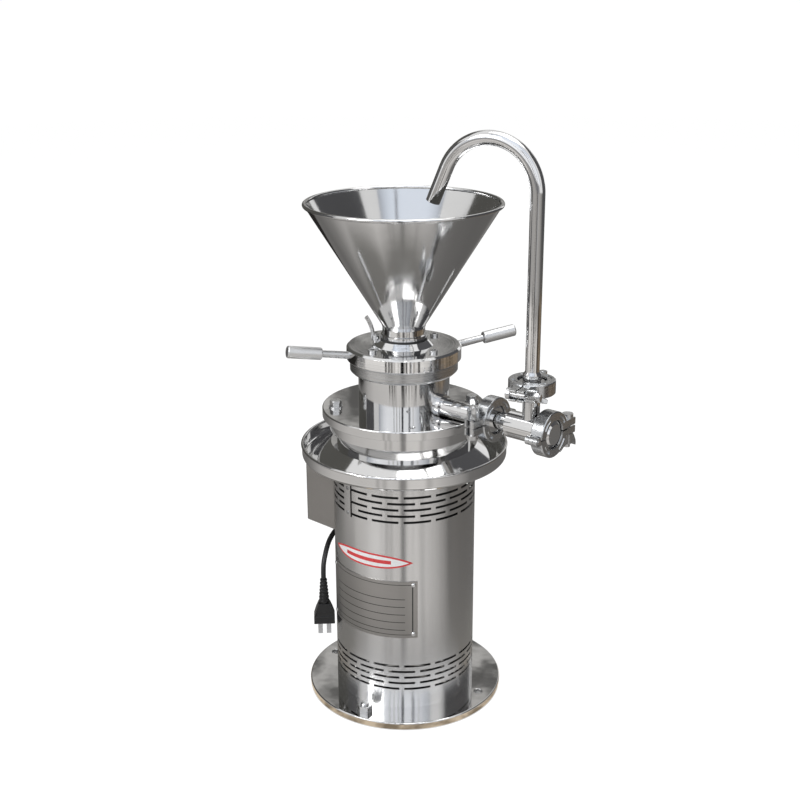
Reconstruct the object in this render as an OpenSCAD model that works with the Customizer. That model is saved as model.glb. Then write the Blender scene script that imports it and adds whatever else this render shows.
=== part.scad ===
// Colloid mill on a round base: a vertical motor in a slotted shell, a grinding head with an
// adjusting dial, a feed hopper, and a return pipe that carries the product back to the hopper.
// Origin: centre of the base plate's underside. +Z up, +X through two of the base holes.

/* [Base] */
// Diameter of the base plate
base_d = 250; // [240:1:300]
// Thickness of the base plate
base_t = 10; // [8:0.5:16]
// Edge chamfer of the base plate
base_chamfer = 1; // [0.5:0.1:2]
// Diameter of the mounting holes
base_hole_d = 11; // [8:0.5:13]
// Diameter of the earth stud in the front hole
earth_stud_d = 10; // [6:0.5:12]
// Width across flats of the earth nut
earth_nut_af = 17; // [14:0.5:20]
// Height of the earth nut
earth_nut_h = 8; // [5:0.5:12]

/* [Motor shell] */
// Outer diameter of the motor shell
shell_d = 178; // [172:1:186]
// Sheet thickness of the motor shell
shell_wall = 1.5; // [1:0.1:2.5]
// Height of the motor shell above the base plate
shell_h = 328.5; // [322:0.5:350]
// Height of the rings welded into the shell's ends
shell_ring_t = 12; // [8:0.5:16]
// Length of one air slot
vent_len = 33.5; // [25:0.5:36]
// Height of one air slot
vent_h = 3; // [2:0.1:4]
// Distance between the slot rows
vent_pitch = 8; // [7:0.1:9]
// Slots in one row
vent_count = 14; // [10:1:14]
// Rows in each belt of slots
vent_rows = 5; // [3:1:6]
// Shell top edge to the upper belt's first row
upper_vent_drop = 41.5; // [38:0.5:50]
// Base plate to the lower belt's last row
lower_vent_lift = 27; // [22:0.5:34]
// Width of the blank at the riveted seam, in degrees
seam_angle = 9; // [8:1:20]
// Head diameter of the seam rivets
seam_rivet_d = 6; // [3:0.5:6]

/* [Nameplate] */
// Angle that the nameplate covers on the shell
plate_angle = 88; // [60:1:100]
// Height of the nameplate
plate_h = 77; // [60:1:90]
// Thickness of the nameplate
plate_t = 0.8; // [0.5:0.1:1.2]
// Base plate to the nameplate's lower edge
plate_lift = 99.5; // [80:0.5:130]
// Head diameter of the nameplate rivets
plate_rivet_d = 6; // [3:0.5:6]

/* [Drip tray] */
// Outer diameter of the drip tray
tray_d = 257; // [250:1:270]
// Sheet thickness of the drip tray
tray_t = 1.5; // [1:0.1:2]
// Drop from the tray's seat to its gutter
tray_drop = 18; // [14:0.5:20]
// Height of the tray's outer wall above the gutter
tray_wall_h = 15; // [10:0.5:17]
// Width of the gutter's flat
tray_gutter_w = 7; // [5:0.5:10]
// Diameter of the rolled edge
tray_bead_d = 3.6; // [3.2:0.1:5]

/* [Motor] */
// Outer diameter of the motor frame
frame_d = 150; // [140:1:156]
// Wall of the motor frame
frame_wall = 10; // [6:0.5:12]
// Length of the motor frame
frame_len = 214; // [205:1:218]
// Length of the stator core
stator_len = 100; // [80:1:120]
// Bore of the stator core
stator_bore = 70; // [60:1:80]
// Air gap between stator and rotor
air_gap = 0.4; // [0.3:0.05:1]
// Height of the end windings
winding_h = 25; // [15:1:30]
// Shaft diameter in the rotor core
shaft_d = 30; // [28:0.5:36]
// Outer diameter of the lower bearing
low_bearing_od = 40; // [36:1:47]
// Bore of the lower bearing
low_bearing_id = 17; // [15:1:20]
// Width of the lower bearing
low_bearing_w = 12; // [10:1:13]
// Outer diameter of the upper bearing
top_bearing_od = 52; // [47:1:56]
// Bore of the upper bearing
top_bearing_id = 25; // [22:1:27]
// Width of the upper bearing
top_bearing_w = 15; // [12:1:15]
// Thickness of the lower shield
low_shield_t = 14; // [13.5:0.5:18]
// Diameter of the cooling fan
fan_d = 120; // [90:1:140]
// Height of the cooling fan
fan_h = 22; // [15:1:26]
// Blades on the cooling fan
fan_blades = 8; // [5:1:10]

/* [Motor top shield] */
// Diameter of the shield's rim
shield_d = 184; // [176:1:196]
// Thickness of the shield's rim
shield_t = 16; // [14:0.5:20]
// Diameter of the neck on the tray
neck_d = 167; // [160:1:172]
// Height of the neck
neck_h = 18; // [14:0.5:24]
// Length of the spigot through the tray
spigot_len = 14; // [13.5:0.5:18]

/* [Mill flange] */
// Diameter of the mill flange
flange_d = 202; // [192:1:206]
// Thickness of the mill flange
flange_t = 11; // [9:0.5:15]
// Pitch circle of the flange bolts
flange_bolt_pcd = 169; // [150:1:176]
// Thread diameter of the flange bolts
flange_bolt_d = 8; // [6:0.5:10]
// Width across flats of the flange bolts
flange_bolt_af = 13; // [12:0.5:17]
// Height of the flange bolts' heads
flange_bolt_h = 7; // [5:0.5:9]

/* [Mill body] */
// Outer diameter of the mill body
body_d = 112; // [106:1:118]
// Height of the mill body below its collar
body_h = 45; // [43:0.5:52]
// Bore of the mill body
bore_d = 88; // [82:1:92]
// Diameter of the collar under the dial
collar_d = 132; // [126:1:136]
// Height of the collar
collar_h = 14; // [12:0.5:18]
// Chamfer under the collar
collar_chamfer = 3; // [1:0.5:5]

/* [Grinding set] */
// Lower diameter of the grinding rotor
rotor_low_d = 50; // [46:1:54]
// Upper diameter of the grinding rotor
rotor_top_d = 38; // [34:1:40]
// Height of the grinding rotor
rotor_h = 32; // [28:0.5:33]
// Grooves cut in the rotor and the stator
groove_count = 16; // [8:1:20]
// Depth of the grooves
groove_depth = 2; // [1:0.25:3]
// Width of the grooves
groove_w = 2.5; // [1.5:0.25:3]
// Gap between rotor and stator at rest
grind_gap = 0.6; // [0.4:0.05:1]
// Diameter of the discharge impeller
impeller_d = 78; // [60:1:80]
// Height of the discharge impeller
impeller_h = 9; // [7:0.5:10]

/* [Adjusting dial] */
// Diameter of the dial
dial_d = 140; // [134:1:150]
// Thickness of the dial
dial_t = 18.5; // [17:0.5:24]
// Chamfer of the dial's edges
dial_chamfer = 2.5; // [1:0.25:4]
// Lower diameter of the dial's hub
hub_low_d = 72; // [66:1:78]
// Upper diameter of the dial's hub
hub_top_d = 60; // [58:1:64]
// Height of the dial's hub
hub_h = 7; // [5:0.5:10]
// Bore for the feed
throat_d = 46; // [42:1:47]
// Pitch circle of the dial screws
dial_screw_pcd = 103; // [96:1:108]
// Head diameter of the dial screws
dial_screw_head_d = 10; // [8:0.5:11]
// Angle of the first dial handle
handle_az = 47; // [40:1:60]
// Upward tilt of the handles
handle_tilt = 8.7; // [0:0.1:12]
// Reach of the handles from the mill's axis
handle_reach = 146; // [135:1:155]
// Diameter of the handle rods at the dial
rod_low_d = 9.5; // [8:0.5:11]
// Diameter of the handle rods at the grip
rod_top_d = 8; // [6:0.5:9]
// Diameter of the grips
grip_d = 15; // [13:0.5:18]
// Length of the grips
grip_len = 43; // [35:1:50]
// Distance of the lock lever's stud from the axis
lever_r = 35; // [34.5:0.5:37]
// Diameter of the lock lever's stud
lever_stud_d = 5; // [4:0.5:6]
// Thickness of the lever's hub
lever_hub_h = 6; // [5:0.5:8]
// Radius of the lever's curve
lever_bend_r = 45; // [40:1:55]

/* [Hopper] */
// Diameter of the hopper's rim, over the rolled edge
hopper_d = 238; // [220:1:244]
// Height of the hopper above its foot
hopper_h = 162; // [150:1:164]
// Diameter of the hopper's neck
hopper_neck_d = 52; // [50:1:54]
// Height of the hopper's neck
hopper_neck_h = 15; // [12:0.5:20]
// Sheet thickness of the hopper
hopper_wall = 1.2; // [0.8:0.1:1.8]
// Diameter of the hopper's rolled edge
hopper_bead_d = 4.8; // [4:0.2:6]
// Thickness of the hopper's sealing ring
oring_t = 2.4; // [1.5:0.1:3]

/* [Discharge line] */
// Direction of the discharge line
outlet_az = -11.5; // [-20:0.5:0]
// Height of the discharge line above the mill flange
outlet_lift = 11.5; // [11.5:0.5:14]
// Outer diameter of the discharge pipe
pipe_d = 21; // [18:0.5:21.5]
// Wall of the pipes
pipe_wall = 1.5; // [1:0.1:2]
// Diameter of the weld collar at the mill body
outlet_collar_d = 27; // [25:0.5:30]
// Weld collar's reach beyond the mill body
outlet_collar_w = 7; // [4:0.5:10]
// Distance from the axis to the first clamp
outlet_joint_r = 134; // [132:1:140]
// Distance from the axis to the return pipe
riser_r = 188; // [184:1:196]
// Diameter of the tee's body
tee_d = 32; // [28:1:33]
// Distance from the return pipe's axis to the tee's end
tee_end = 25; // [24:0.5:34]
// Outer diameter of the tee's branch
branch_d = 20; // [18:0.5:21]
// Height of the tee's branch above the discharge line
branch_h = 52; // [50:0.5:60]

/* [Return pipe] */
// Outer diameter of the return pipe
return_d = 16.5; // [14:0.5:19]
// Straight length of the return pipe above its ferrule
return_rise = 215; // [205:1:230]
// Bend radius of the return pipe
return_bend_r = 57; // [50:1:60]
// Angle of the bend
return_bend = 157; // [140:1:165]
// Straight length after the bend
return_end = 43; // [30:1:48]

/* [Ferrule clamps] */
// Diameter of the ferrules
ferrule_d = 40; // [38:0.5:41]
// Rim thickness of one ferrule
ferrule_t = 3.2; // [2.5:0.1:3.6]
// Thickness of the gaskets
gasket_t = 1.6; // [1:0.1:2]
// Outer diameter of the clamp rings
clamp_d = 54; // [52:0.5:58]
// Width of the clamp rings
clamp_w = 16; // [15:0.5:18]
// Gap between the two halves of a clamp
clamp_split = 1.6; // [1:0.1:3]
// Distance from the ring's axis to the eye bolt
clamp_bolt_r = 38; // [37:0.5:42]
// Diameter of the eye bolts
clamp_bolt_d = 8; // [6:0.5:9]
// Thickness of one bolt ear
clamp_ear_t = 9; // [7:0.5:11]
// Half the span of the wing nuts
wing_span = 18; // [15:0.5:19]
// Height of the wing nuts
wing_h = 23; // [20:0.5:27]

/* [Junction box] */
// Width of the junction box
box_w = 120; // [110:1:126]
// Height of the junction box
box_h = 104; // [92:1:105]
// Depth of the junction box beyond the shell
box_depth = 23; // [15:0.5:24]
// Wall of the junction box
box_wall = 1.5; // [1:0.1:2.5]
// Corner radius of the junction box
box_corner = 6; // [3:0.5:10]
// Diameter of the capacitors
capacitor_d = 21; // [16:0.5:21.5]
// Length of the capacitors
capacitor_len = 70; // [50:1:80]

/* [Cord] */
// Diameter of the mains cord
cord_d = 6.5; // [6:0.1:7]
// Diameter of the gland on the box
gland_d = 14; // [12:0.5:15]
// Length of the gland
gland_len = 30; // [25:1:34]

/* [Fits] */
// Radial clearance of running and sliding fits
run_gap = 0.05; // [0.02:0.01:0.1]
// Clearance between pieces that only stand near each other
near_gap = 0.3; // [0.25:0.01:0.4]
// Lift of the dial above the collar at rest
dial_gap = 0.55; // [0.5:0.01:0.8]

/* [Hidden] */
$fn = 64;
cut = 1;
hex = 6;

// Heights, from the floor up
base_hole_pcd = (base_d + shell_d) / 2;
z_base = base_t;
z_seat = z_base + shell_h + tray_t;
z_tray_under = z_seat - tray_t;
z_gutter = z_seat - tray_drop;
z_tray_rim = z_gutter + tray_wall_h;
z_neck = z_seat + neck_h;
z_shield = z_neck + shield_t;
z_flange = z_shield + flange_t;
z_body = z_flange + body_h;
z_collar = z_body + collar_h;
z_dial = z_collar + dial_gap;
z_dial_top = z_dial + dial_t;
z_hub = z_dial_top + hub_h;
z_hopper = z_hub + oring_t;
z_spigot = z_seat - spigot_len;
z_frame = z_spigot - frame_len;
z_low_shield = z_frame - low_shield_t;
z_stator = z_frame + (frame_len - stator_len) / 2;
z_outlet = z_flange + outlet_lift;
z_branch = z_outlet + branch_h;

// Motor
shell_r = shell_d / 2;
shell_in_r = shell_r - shell_wall;
ring_in_r = frame_d / 2 + 1;
frame_in_r = frame_d / 2 - frame_wall;
rotor_core_r = stator_bore / 2 - air_gap;
low_shaft_r = low_bearing_id / 2;
top_shaft_r = top_bearing_id / 2;
fan_seat_r = low_shaft_r - 0.5;
fan_drop = 3;
z_fan = z_low_shield - fan_drop - fan_h;
z_shaft = z_fan - 2;
shaft_hole_r = top_shaft_r + 1.5;
ball_gap = 0.05;
seal_pocket_r = 24;
seal_pocket_h = 17;
seal_r = 19;
seal_t = 8;
seal_lip = 3;

// Seam, nameplate and air slots
seam_az = -112.5;
seam_rivet_h = 1.2;
plate_az = -95.5;
plate_r = shell_r + 0.1;
plate_rivet_inset = 5;
plate_rivet_h = 1.2;
vent_step = 360 / vent_count;
vent_angle = vent_len / shell_r * 180 / PI;
vent_shortest = 0.3;

// Grinding head
mill_shaft_r = 10;
thread_r = 6;
z_impeller = z_flange + 2;
z_rotor = z_impeller + impeller_h;
z_rotor_top = z_rotor + rotor_h;
stator_r = bore_d / 2 - run_gap;
sleeve_r = bore_d / 2 - near_gap;
sleeve_len = 15;
z_sleeve = z_dial - sleeve_len;
z_stator_top = z_sleeve - near_gap;
z_stator_low = z_rotor + 2;
cap_nut_r = 8;
cap_nut_h = 12;
bolt_az = 34.5;
jack_d = 8;
washer_t = 2;
dial_screw_az = 71.5;
dial_screw_h = 3;
dial_screw_len = 12;
socket_d = 5;
rod_seat = 8;
rod_z = z_dial + dial_t * 0.52;
grip_chamfer = 1.2;
lever_az = 198.5;
lever_hub_d = 9;
lever_seat = 3;
lever_w = 6;
lever_t = 3.5;
lever_arc = 36;
lever_foot = 1.5;

// Hopper profile
hopper_neck_r = hopper_neck_d / 2;
hopper_rim_r = hopper_d / 2 - hopper_bead_d / 2;
z_hopper_neck = z_hopper + hopper_neck_h;
z_hopper_rim = z_hopper + hopper_h;
hopper_foot_r = hopper_neck_r + 2;
hopper_foot_h = 4;
oring_r = hopper_neck_r - 1;

// Discharge line
pipe_r = pipe_d / 2;
pipe_in_r = pipe_r - pipe_wall;
pipe_start = bore_d / 2 + 1;
ferrule_r = ferrule_d / 2;
ferrule_root_r = 14;
ferrule_root_t = ferrule_t + 1.8;
face_gap = gasket_t / 2;
tee_joint = riser_r - outlet_joint_r;
tee_cone = 4;
tee_neck = 22;
tee_wall = 3;
cap_dome = 2;
gasket_r = ferrule_r - 0.5;
weld_collar_r = return_d / 2 + 2.5;
weld_collar_h = 16;
weld_lip = 0.05;
weld_lap = 0.5;

// Clamps
clamp_r = clamp_d / 2;
groove_r = ferrule_r + 0.4;
groove_half = face_gap + ferrule_t + 0.5;
lip_r = 17;
lip_half = face_gap + ferrule_root_t - 0.2;
ear_in = clamp_r - 5;
ear_out = clamp_bolt_r + 7;
ear_w = 13;
knuckle_r = 5;
hinge_r = clamp_r + knuckle_r + near_gap;
pin_r = 2.5;
knuckle_half = 2.6;
bolt_r = clamp_bolt_d / 2;
bolt_head_t = 5;
bolt_head_r = bolt_r + 2.5;
nut_hub_r = bolt_r + 3;
wing_t = 4;
bolt_end = clamp_ear_t + near_gap + wing_h * 0.75;

// Junction box
box_az = 166;
box_reach = shell_r + box_depth;
box_in = 45;
lid_t = 1.5;
lid_screw_d = 7;
lid_screw_h = 2;
lid_screw_inset = 8;
z_box = z_tray_under - tray_drop - near_gap - box_h;
capacitor_y = 45;
capacitor_gap = 0.5;
capacitor_lift = 6;

// Cord, folded to a hank that stands on the base plate against the shell
hank_az = 150;
hank_run = 110;
hank_fold = 24.5;
hank_turns = 3.5;
hank_in = shell_r + 2;
hank_out = hank_in + (hank_turns + 1) * (cord_d + 0.1);
hank_r = hank_fold + cord_d / 2;
z_hank = z_base + near_gap + hank_r;
tie_h = 9;
tie_t = 1;
tie_gap = 0.3;
gland_out = 7.9;
gland_az = 135.4;
gland_pos = (shell_r + gland_out) * [cos(gland_az), sin(gland_az)];
lead_route = [for (z = [z_box - gland_len, 165, 148]) [gland_pos[0], gland_pos[1], z]];
// Cord to the plug: distance from the shell, azimuth, height
tail_turns = [
    [30, 162, 144], [30, 162, 150], [27, 164.5, 171], [19, 172.5, 188], [12, 184.5, 194],
    [12, 197.5, 188], [15, 209, 172], [16, 212, 156], [16, 212, 150]
];
tail_route = [for (t = tail_turns) [(shell_r + t[0]) * cos(t[1]), (shell_r + t[0]) * sin(t[1]), t[2]]];
cord_sides = 10;
plug_end = tail_turns[len(tail_turns) - 1];
plug_az = plug_end[1];
plug_top = plug_end[2];
plug_pos = (shell_r + plug_end[0]) * [cos(plug_az), sin(plug_az)];
relief_len = 34;
relief_top_r = 4.5;
relief_low_r = 7.5;
plug_len = 27;
plug_w = 27;
plug_depth = 19;
plug_round = 5;
pin_len = 18;
pin_w = 6;
pin_t = 1.6;
pin_step = 11;

// Turned ring from z = low to z = high
module ring(r_out, r_in, low, high) {
    translate([0, 0, low])
        difference() {
            cylinder(r = r_out, h = high - low);
            translate([0, 0, -cut]) cylinder(r = r_in, h = high - low + 2 * cut);
        }
}

// Hexagon prism, width across flats af
module hex_prism(af, h) {
    cylinder(d = af / cos(180 / hex), h = h, $fn = hex);
}

// Children copied round the axis
module around(count, first = 0) {
    for (i = [0 : count - 1])
        rotate([0, 0, first + i * 360 / count]) children();
}

// Frame of the discharge line: x along the line, z up
module on_outlet(reach) {
    rotate([0, 0, outlet_az]) translate([reach, 0, z_outlet]) children();
}

// Frame of the return pipe at the tee's branch, turned to the base holes
module on_riser(z) {
    translate([riser_r * cos(outlet_az), riser_r * sin(outlet_az), z]) children();
}

// Places of the three clamps; a clamp's axis is its z, its bolt side is -y
module at_outlet_clamp() {
    on_outlet(outlet_joint_r) rotate([0, -90, 0]) children();
}
module at_return_clamp() {
    on_riser(z_branch) children();
}
module at_cap_clamp() {
    on_outlet(riser_r + tee_end) rotate([180, 0, 0]) rotate([0, -90, 0]) children();
}
module at_clamps() {
    at_outlet_clamp() children();
    at_return_clamp() children();
    at_cap_clamp() children();
}

// Base plate with its mounting holes; the front hole carries the earth stud
module base_plate() {
    color("gainsboro")
    difference() {
        rotate_extrude()
            polygon([
                [0, 0], [base_d / 2, 0], [base_d / 2, base_t - base_chamfer],
                [base_d / 2 - base_chamfer, base_t], [0, base_t]
            ]);
        for (az = [0, 90, 180])
            rotate([0, 0, az]) translate([base_hole_pcd / 2, 0, -cut])
                cylinder(d = base_hole_d, h = base_t + 2 * cut);
        translate([0, -base_hole_pcd / 2, cut])
            cylinder(r = earth_stud_d / 2 + run_gap, h = base_t);
    }
}

module earth_stud() {
    color("silver")
    translate([0, -base_hole_pcd / 2, cut]) {
        cylinder(d = earth_stud_d, h = base_t + earth_nut_h + 1);
        translate([0, 0, base_t + earth_nut_h + 1])
            cylinder(d1 = earth_stud_d, d2 = earth_stud_d - 2, h = 1);
    }
}

module earth_nut() {
    color("silver")
    translate([0, -base_hole_pcd / 2, z_base])
        difference() {
            intersection() {
                rotate([0, 0, 20]) hex_prism(earth_nut_af, earth_nut_h);
                rotate_extrude()
                    polygon([
                        [0, 0], [earth_nut_af * 0.6, 0], [earth_nut_af * 0.6, earth_nut_h - 1.2],
                        [earth_nut_af * 0.48, earth_nut_h], [0, earth_nut_h]
                    ]);
            }
            translate([0, 0, -cut]) cylinder(r = earth_stud_d / 2 + run_gap, h = earth_nut_h + 2 * cut);
        }
}

// One belt of air slots; rows are staggered by half a step, and a slot at the seam stops short of it
module vent_belt(z_first, keep_seam) {
    for (row = [0 : vent_rows - 1], i = [0 : vent_count - 1])
        let (az = (i + (row % 2) / 2) * vent_step,
             off = ((az - seam_az + 540) % 360) - 180,
             lost = keep_seam ? max(0, (vent_angle + seam_angle) / 2 - abs(off)) : 0,
             run = vent_len * (1 - lost / vent_angle))
            if (run > vent_len * vent_shortest)
                rotate([0, 0, az + (off < 0 ? -1 : 1) * lost / 2])
                    translate([shell_r - 3 * shell_wall, -run / 2,
                               z_first - row * vent_pitch - vent_h / 2])
                        cube([6 * shell_wall, run, vent_h]);
}

// Rolled shell with a welded ring at each end
module motor_shell() {
    color("lightgray")
    difference() {
        union() {
            ring(shell_r, shell_in_r, z_base, z_tray_under);
            ring(shell_in_r + shell_wall / 2, ring_in_r, z_base, z_base + shell_ring_t);
            ring(shell_in_r + shell_wall / 2, ring_in_r, z_tray_under - shell_ring_t, z_tray_under);
        }
        vent_belt(z_tray_under - upper_vent_drop, true);
        vent_belt(z_base + lower_vent_lift + (vent_rows - 1) * vent_pitch, false);
    }
}

module dome_head(d, h) {
    cylinder(d1 = d, d2 = d * 0.6, h = h);
}

module seam_rivets() {
    color("silver")
    for (row = [0, vent_rows - 1])
        translate([0, 0, z_tray_under - upper_vent_drop - row * vent_pitch])
            rotate([0, 0, seam_az]) translate([shell_r + run_gap, 0, 0]) rotate([0, 90, 0])
                dome_head(seam_rivet_d, seam_rivet_h);
}

module nameplate() {
    color("darkgray")
    rotate([0, 0, plate_az - plate_angle / 2])
        translate([0, 0, z_base + plate_lift])
            rotate_extrude(angle = plate_angle)
                translate([plate_r, 0]) square([plate_t, plate_h]);
}

module nameplate_rivets() {
    inset_angle = plate_rivet_inset / plate_r * 180 / PI;
    color("silver")
    for (side = [-1, 1], high = [plate_rivet_inset, plate_h - plate_rivet_inset])
        translate([0, 0, z_base + plate_lift + high])
            rotate([0, 0, plate_az + side * (plate_angle / 2 - inset_angle)])
                translate([plate_r + plate_t + run_gap, 0, 0]) rotate([0, 90, 0])
                    dome_head(plate_rivet_d, plate_rivet_h);
}

// Spun tray: flat seat, conical floor, gutter and a wall with a rolled edge
module drip_tray() {
    hole_r = frame_d / 2 + near_gap;
    seat_r = shell_r + 2;
    wall_r = tray_d / 2 - tray_bead_d / 2;
    out_r = wall_r + tray_t / 2;
    in_r = wall_r - tray_t / 2;
    round_r = 4;
    color("gainsboro")
    union() {
        rotate_extrude($fn = 128)
            polygon(concat(
                [[hole_r, z_seat], [seat_r, z_seat], [in_r - round_r - tray_gutter_w, z_gutter]],
                [for (a = [-90 : 15 : 0])
                    [in_r - round_r + round_r * cos(a), z_gutter + round_r + round_r * sin(a)]],
                [[in_r, z_tray_rim], [out_r, z_tray_rim]],
                [for (a = [0 : -15 : -90])
                    [in_r - round_r + (round_r + tray_t) * cos(a),
                     z_gutter + round_r + (round_r + tray_t) * sin(a)]],
                [[in_r - round_r - tray_gutter_w - 0.5, z_gutter - tray_t], [seat_r - 0.5, z_tray_under],
                 [hole_r, z_tray_under]]
            ));
        rotate_extrude($fn = 128)
            translate([wall_r, z_tray_rim]) circle(d = tray_bead_d, $fn = 24);
    }
}

module motor_frame() {
    color("dimgray") ring(frame_d / 2, frame_in_r, z_frame, z_spigot);
}

module stator_core() {
    color("slategray")
    ring(frame_in_r - run_gap, stator_bore / 2, z_stator, z_stator + stator_len);
}

module end_windings() {
    color("peru") {
        ring(frame_in_r - 3, stator_bore / 2 + 6, z_stator - winding_h, z_stator);
        ring(frame_in_r - 3, stator_bore / 2 + 6, z_stator + stator_len, z_stator + stator_len + winding_h);
    }
}

// Lower shield: closes the frame and holds the lower bearing
module lower_shield() {
    color("dimgray")
    difference() {
        translate([0, 0, z_low_shield]) cylinder(d = frame_d, h = low_shield_t);
        translate([0, 0, z_frame - low_bearing_w])
            cylinder(r = low_bearing_od / 2 + run_gap, h = low_bearing_w + cut);
        translate([0, 0, z_low_shield - cut]) cylinder(r = low_bearing_od / 2 - 4, h = low_shield_t);
    }
}

// Top shield: spigot through the tray, neck, rim, bearing pocket and seal pocket
module top_shield() {
    color("gainsboro")
    difference() {
        union() {
            translate([0, 0, z_spigot]) cylinder(d = frame_d, h = spigot_len + cut);
            translate([0, 0, z_seat]) cylinder(d = neck_d, h = neck_h + cut);
            translate([0, 0, z_neck]) cylinder(d = shield_d, h = shield_t);
        }
        translate([0, 0, z_spigot - cut])
            cylinder(r = top_bearing_od / 2 + run_gap, h = top_bearing_w + cut);
        translate([0, 0, z_spigot]) cylinder(r = shaft_hole_r, h = z_shield - z_spigot);
        translate([0, 0, z_shield - seal_pocket_h]) cylinder(r = seal_pocket_r, h = seal_pocket_h + cut);
    }
}

// Ball bearing: r_in, r_out and width w, centred at height z
function ball_pitch(od, id) = (od + id) / 4;
function ball_r(od, id) = (od - id) / 8;

module bearing_race(od, id, w, z, outer) {
    pitch = ball_pitch(od, id);
    land = ball_r(od, id) * 0.45;
    difference() {
        if (outer) ring(od / 2, pitch + land, z, z + w);
        else ring(pitch - land, id / 2, z, z + w);
        translate([0, 0, z + w / 2])
            rotate_extrude() translate([pitch, 0]) circle(r = ball_r(od, id) + ball_gap, $fn = 32);
    }
}

module bearing_outer_rings() {
    color("silver") {
        bearing_race(low_bearing_od, low_bearing_id, low_bearing_w, z_frame - low_bearing_w, true);
        bearing_race(top_bearing_od, top_bearing_id, top_bearing_w, z_spigot, true);
    }
}
module bearing_inner_rings() {
    color("silver") {
        bearing_race(low_bearing_od, low_bearing_id + 2 * run_gap, low_bearing_w,
                     z_frame - low_bearing_w, false);
        bearing_race(top_bearing_od, top_bearing_id + 2 * run_gap, top_bearing_w, z_spigot, false);
    }
}

module bearing_balls() {
    color("silver") {
        around(8) translate([ball_pitch(low_bearing_od, low_bearing_id), 0, z_frame - low_bearing_w / 2])
            sphere(r = ball_r(low_bearing_od, low_bearing_id), $fn = 32);
        around(9) translate([ball_pitch(top_bearing_od, top_bearing_id), 0, z_spigot + top_bearing_w / 2])
            sphere(r = ball_r(top_bearing_od, top_bearing_id), $fn = 32);
    }
}

// Stepped shaft from the fan up to the grinding rotor
module main_shaft() {
    color("silver")
    rotate_extrude()
        polygon([
            [0, z_shaft], [fan_seat_r, z_shaft],
            [fan_seat_r, z_fan + fan_h + 1], [low_shaft_r, z_fan + fan_h + 1],
            [low_shaft_r, z_frame], [shaft_d / 2, z_frame], [shaft_d / 2, z_spigot],
            [top_shaft_r, z_spigot], [top_shaft_r, z_shield], [mill_shaft_r, z_shield],
            [mill_shaft_r, z_rotor_top - 2], [thread_r, z_rotor_top - 2],
            [thread_r, z_rotor_top + cap_nut_h - 3], [0, z_rotor_top + cap_nut_h - 3]
        ]);
}

module rotor_core() {
    color("slategray") ring(rotor_core_r, shaft_d / 2 + run_gap, z_stator, z_stator + stator_len);
}

// Radial fan on the lower shaft end
module cooling_fan() {
    hub_r = fan_seat_r + 9;
    plate = 2.5;
    color("dimgray")
    difference() {
        union() {
            translate([0, 0, z_fan]) cylinder(r = hub_r, h = fan_h);
            translate([0, 0, z_fan + fan_h - plate]) cylinder(d = fan_d, h = plate);
            around(fan_blades)
                translate([hub_r - 1, -1, z_fan])
                    cube([fan_d / 2 - hub_r, 2, fan_h - plate / 2]);
        }
        translate([0, 0, z_fan - cut]) cylinder(r = fan_seat_r + run_gap, h = fan_h + 2 * cut);
    }
}

// Flange plate under the mill body, with bolt holes and two jack screw holes
module mill_flange() {
    color("gainsboro")
    difference() {
        rotate_extrude()
            polygon([
                [0, z_shield], [flange_d / 2, z_shield], [flange_d / 2, z_flange - 1],
                [flange_d / 2 - 1, z_flange], [0, z_flange]
            ]);
        translate([0, 0, z_shield - cut]) cylinder(r = seal_r + run_gap, h = flange_t + 2 * cut);
        around(2, bolt_az) translate([flange_bolt_pcd / 2, 0, z_shield - cut])
            cylinder(d = flange_bolt_d + 2 * run_gap, h = flange_t + 2 * cut);
        around(2, bolt_az + 90) translate([flange_bolt_pcd / 2, 0, z_shield - cut])
            cylinder(d = jack_d + 2 * run_gap, h = flange_t + 2 * cut);
    }
}

module flange_bolts() {
    color("silver")
    around(2, bolt_az) translate([flange_bolt_pcd / 2, 0, z_shield + cut]) {
        cylinder(d = flange_bolt_d, h = flange_t);
        translate([0, 0, flange_t - cut]) {
            cylinder(d = flange_bolt_af + 4, h = washer_t);
            translate([0, 0, washer_t])
                intersection() {
                    hex_prism(flange_bolt_af, flange_bolt_h);
                    cylinder(d1 = flange_bolt_af * 2, d2 = flange_bolt_af * 0.98, h = flange_bolt_h);
                }
        }
    }
}

module jack_screws() {
    color("dimgray")
    around(2, bolt_az + 90) translate([flange_bolt_pcd / 2, 0, z_shield + cut])
        difference() {
            cylinder(d = jack_d, h = flange_t - 2 * cut);
            translate([0, 0, flange_t - 4]) hex_prism(jack_d / 2, 5);
        }
}

module seal_seat() {
    color("dimgray") ring(seal_r, mill_shaft_r + 1, z_shield + seal_lip, z_flange);
}

module seal_ring() {
    color("darkslategray")
    ring(seal_r - 1, top_shaft_r + run_gap, z_shield - seal_t, z_shield - near_gap);
}

// Mill body: grinding chamber, collar under the dial and the discharge hole
module mill_body() {
    color("gainsboro")
    difference() {
        rotate_extrude()
            polygon([
                [bore_d / 2, z_flange], [body_d / 2, z_flange], [body_d / 2, z_body],
                [collar_d / 2 - collar_chamfer, z_body], [collar_d / 2, z_body + collar_chamfer],
                [collar_d / 2, z_collar], [bore_d / 2, z_collar]
            ]);
        on_outlet(0) rotate([0, 90, 0]) cylinder(r = pipe_r + run_gap, h = body_d);
    }
}

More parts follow.
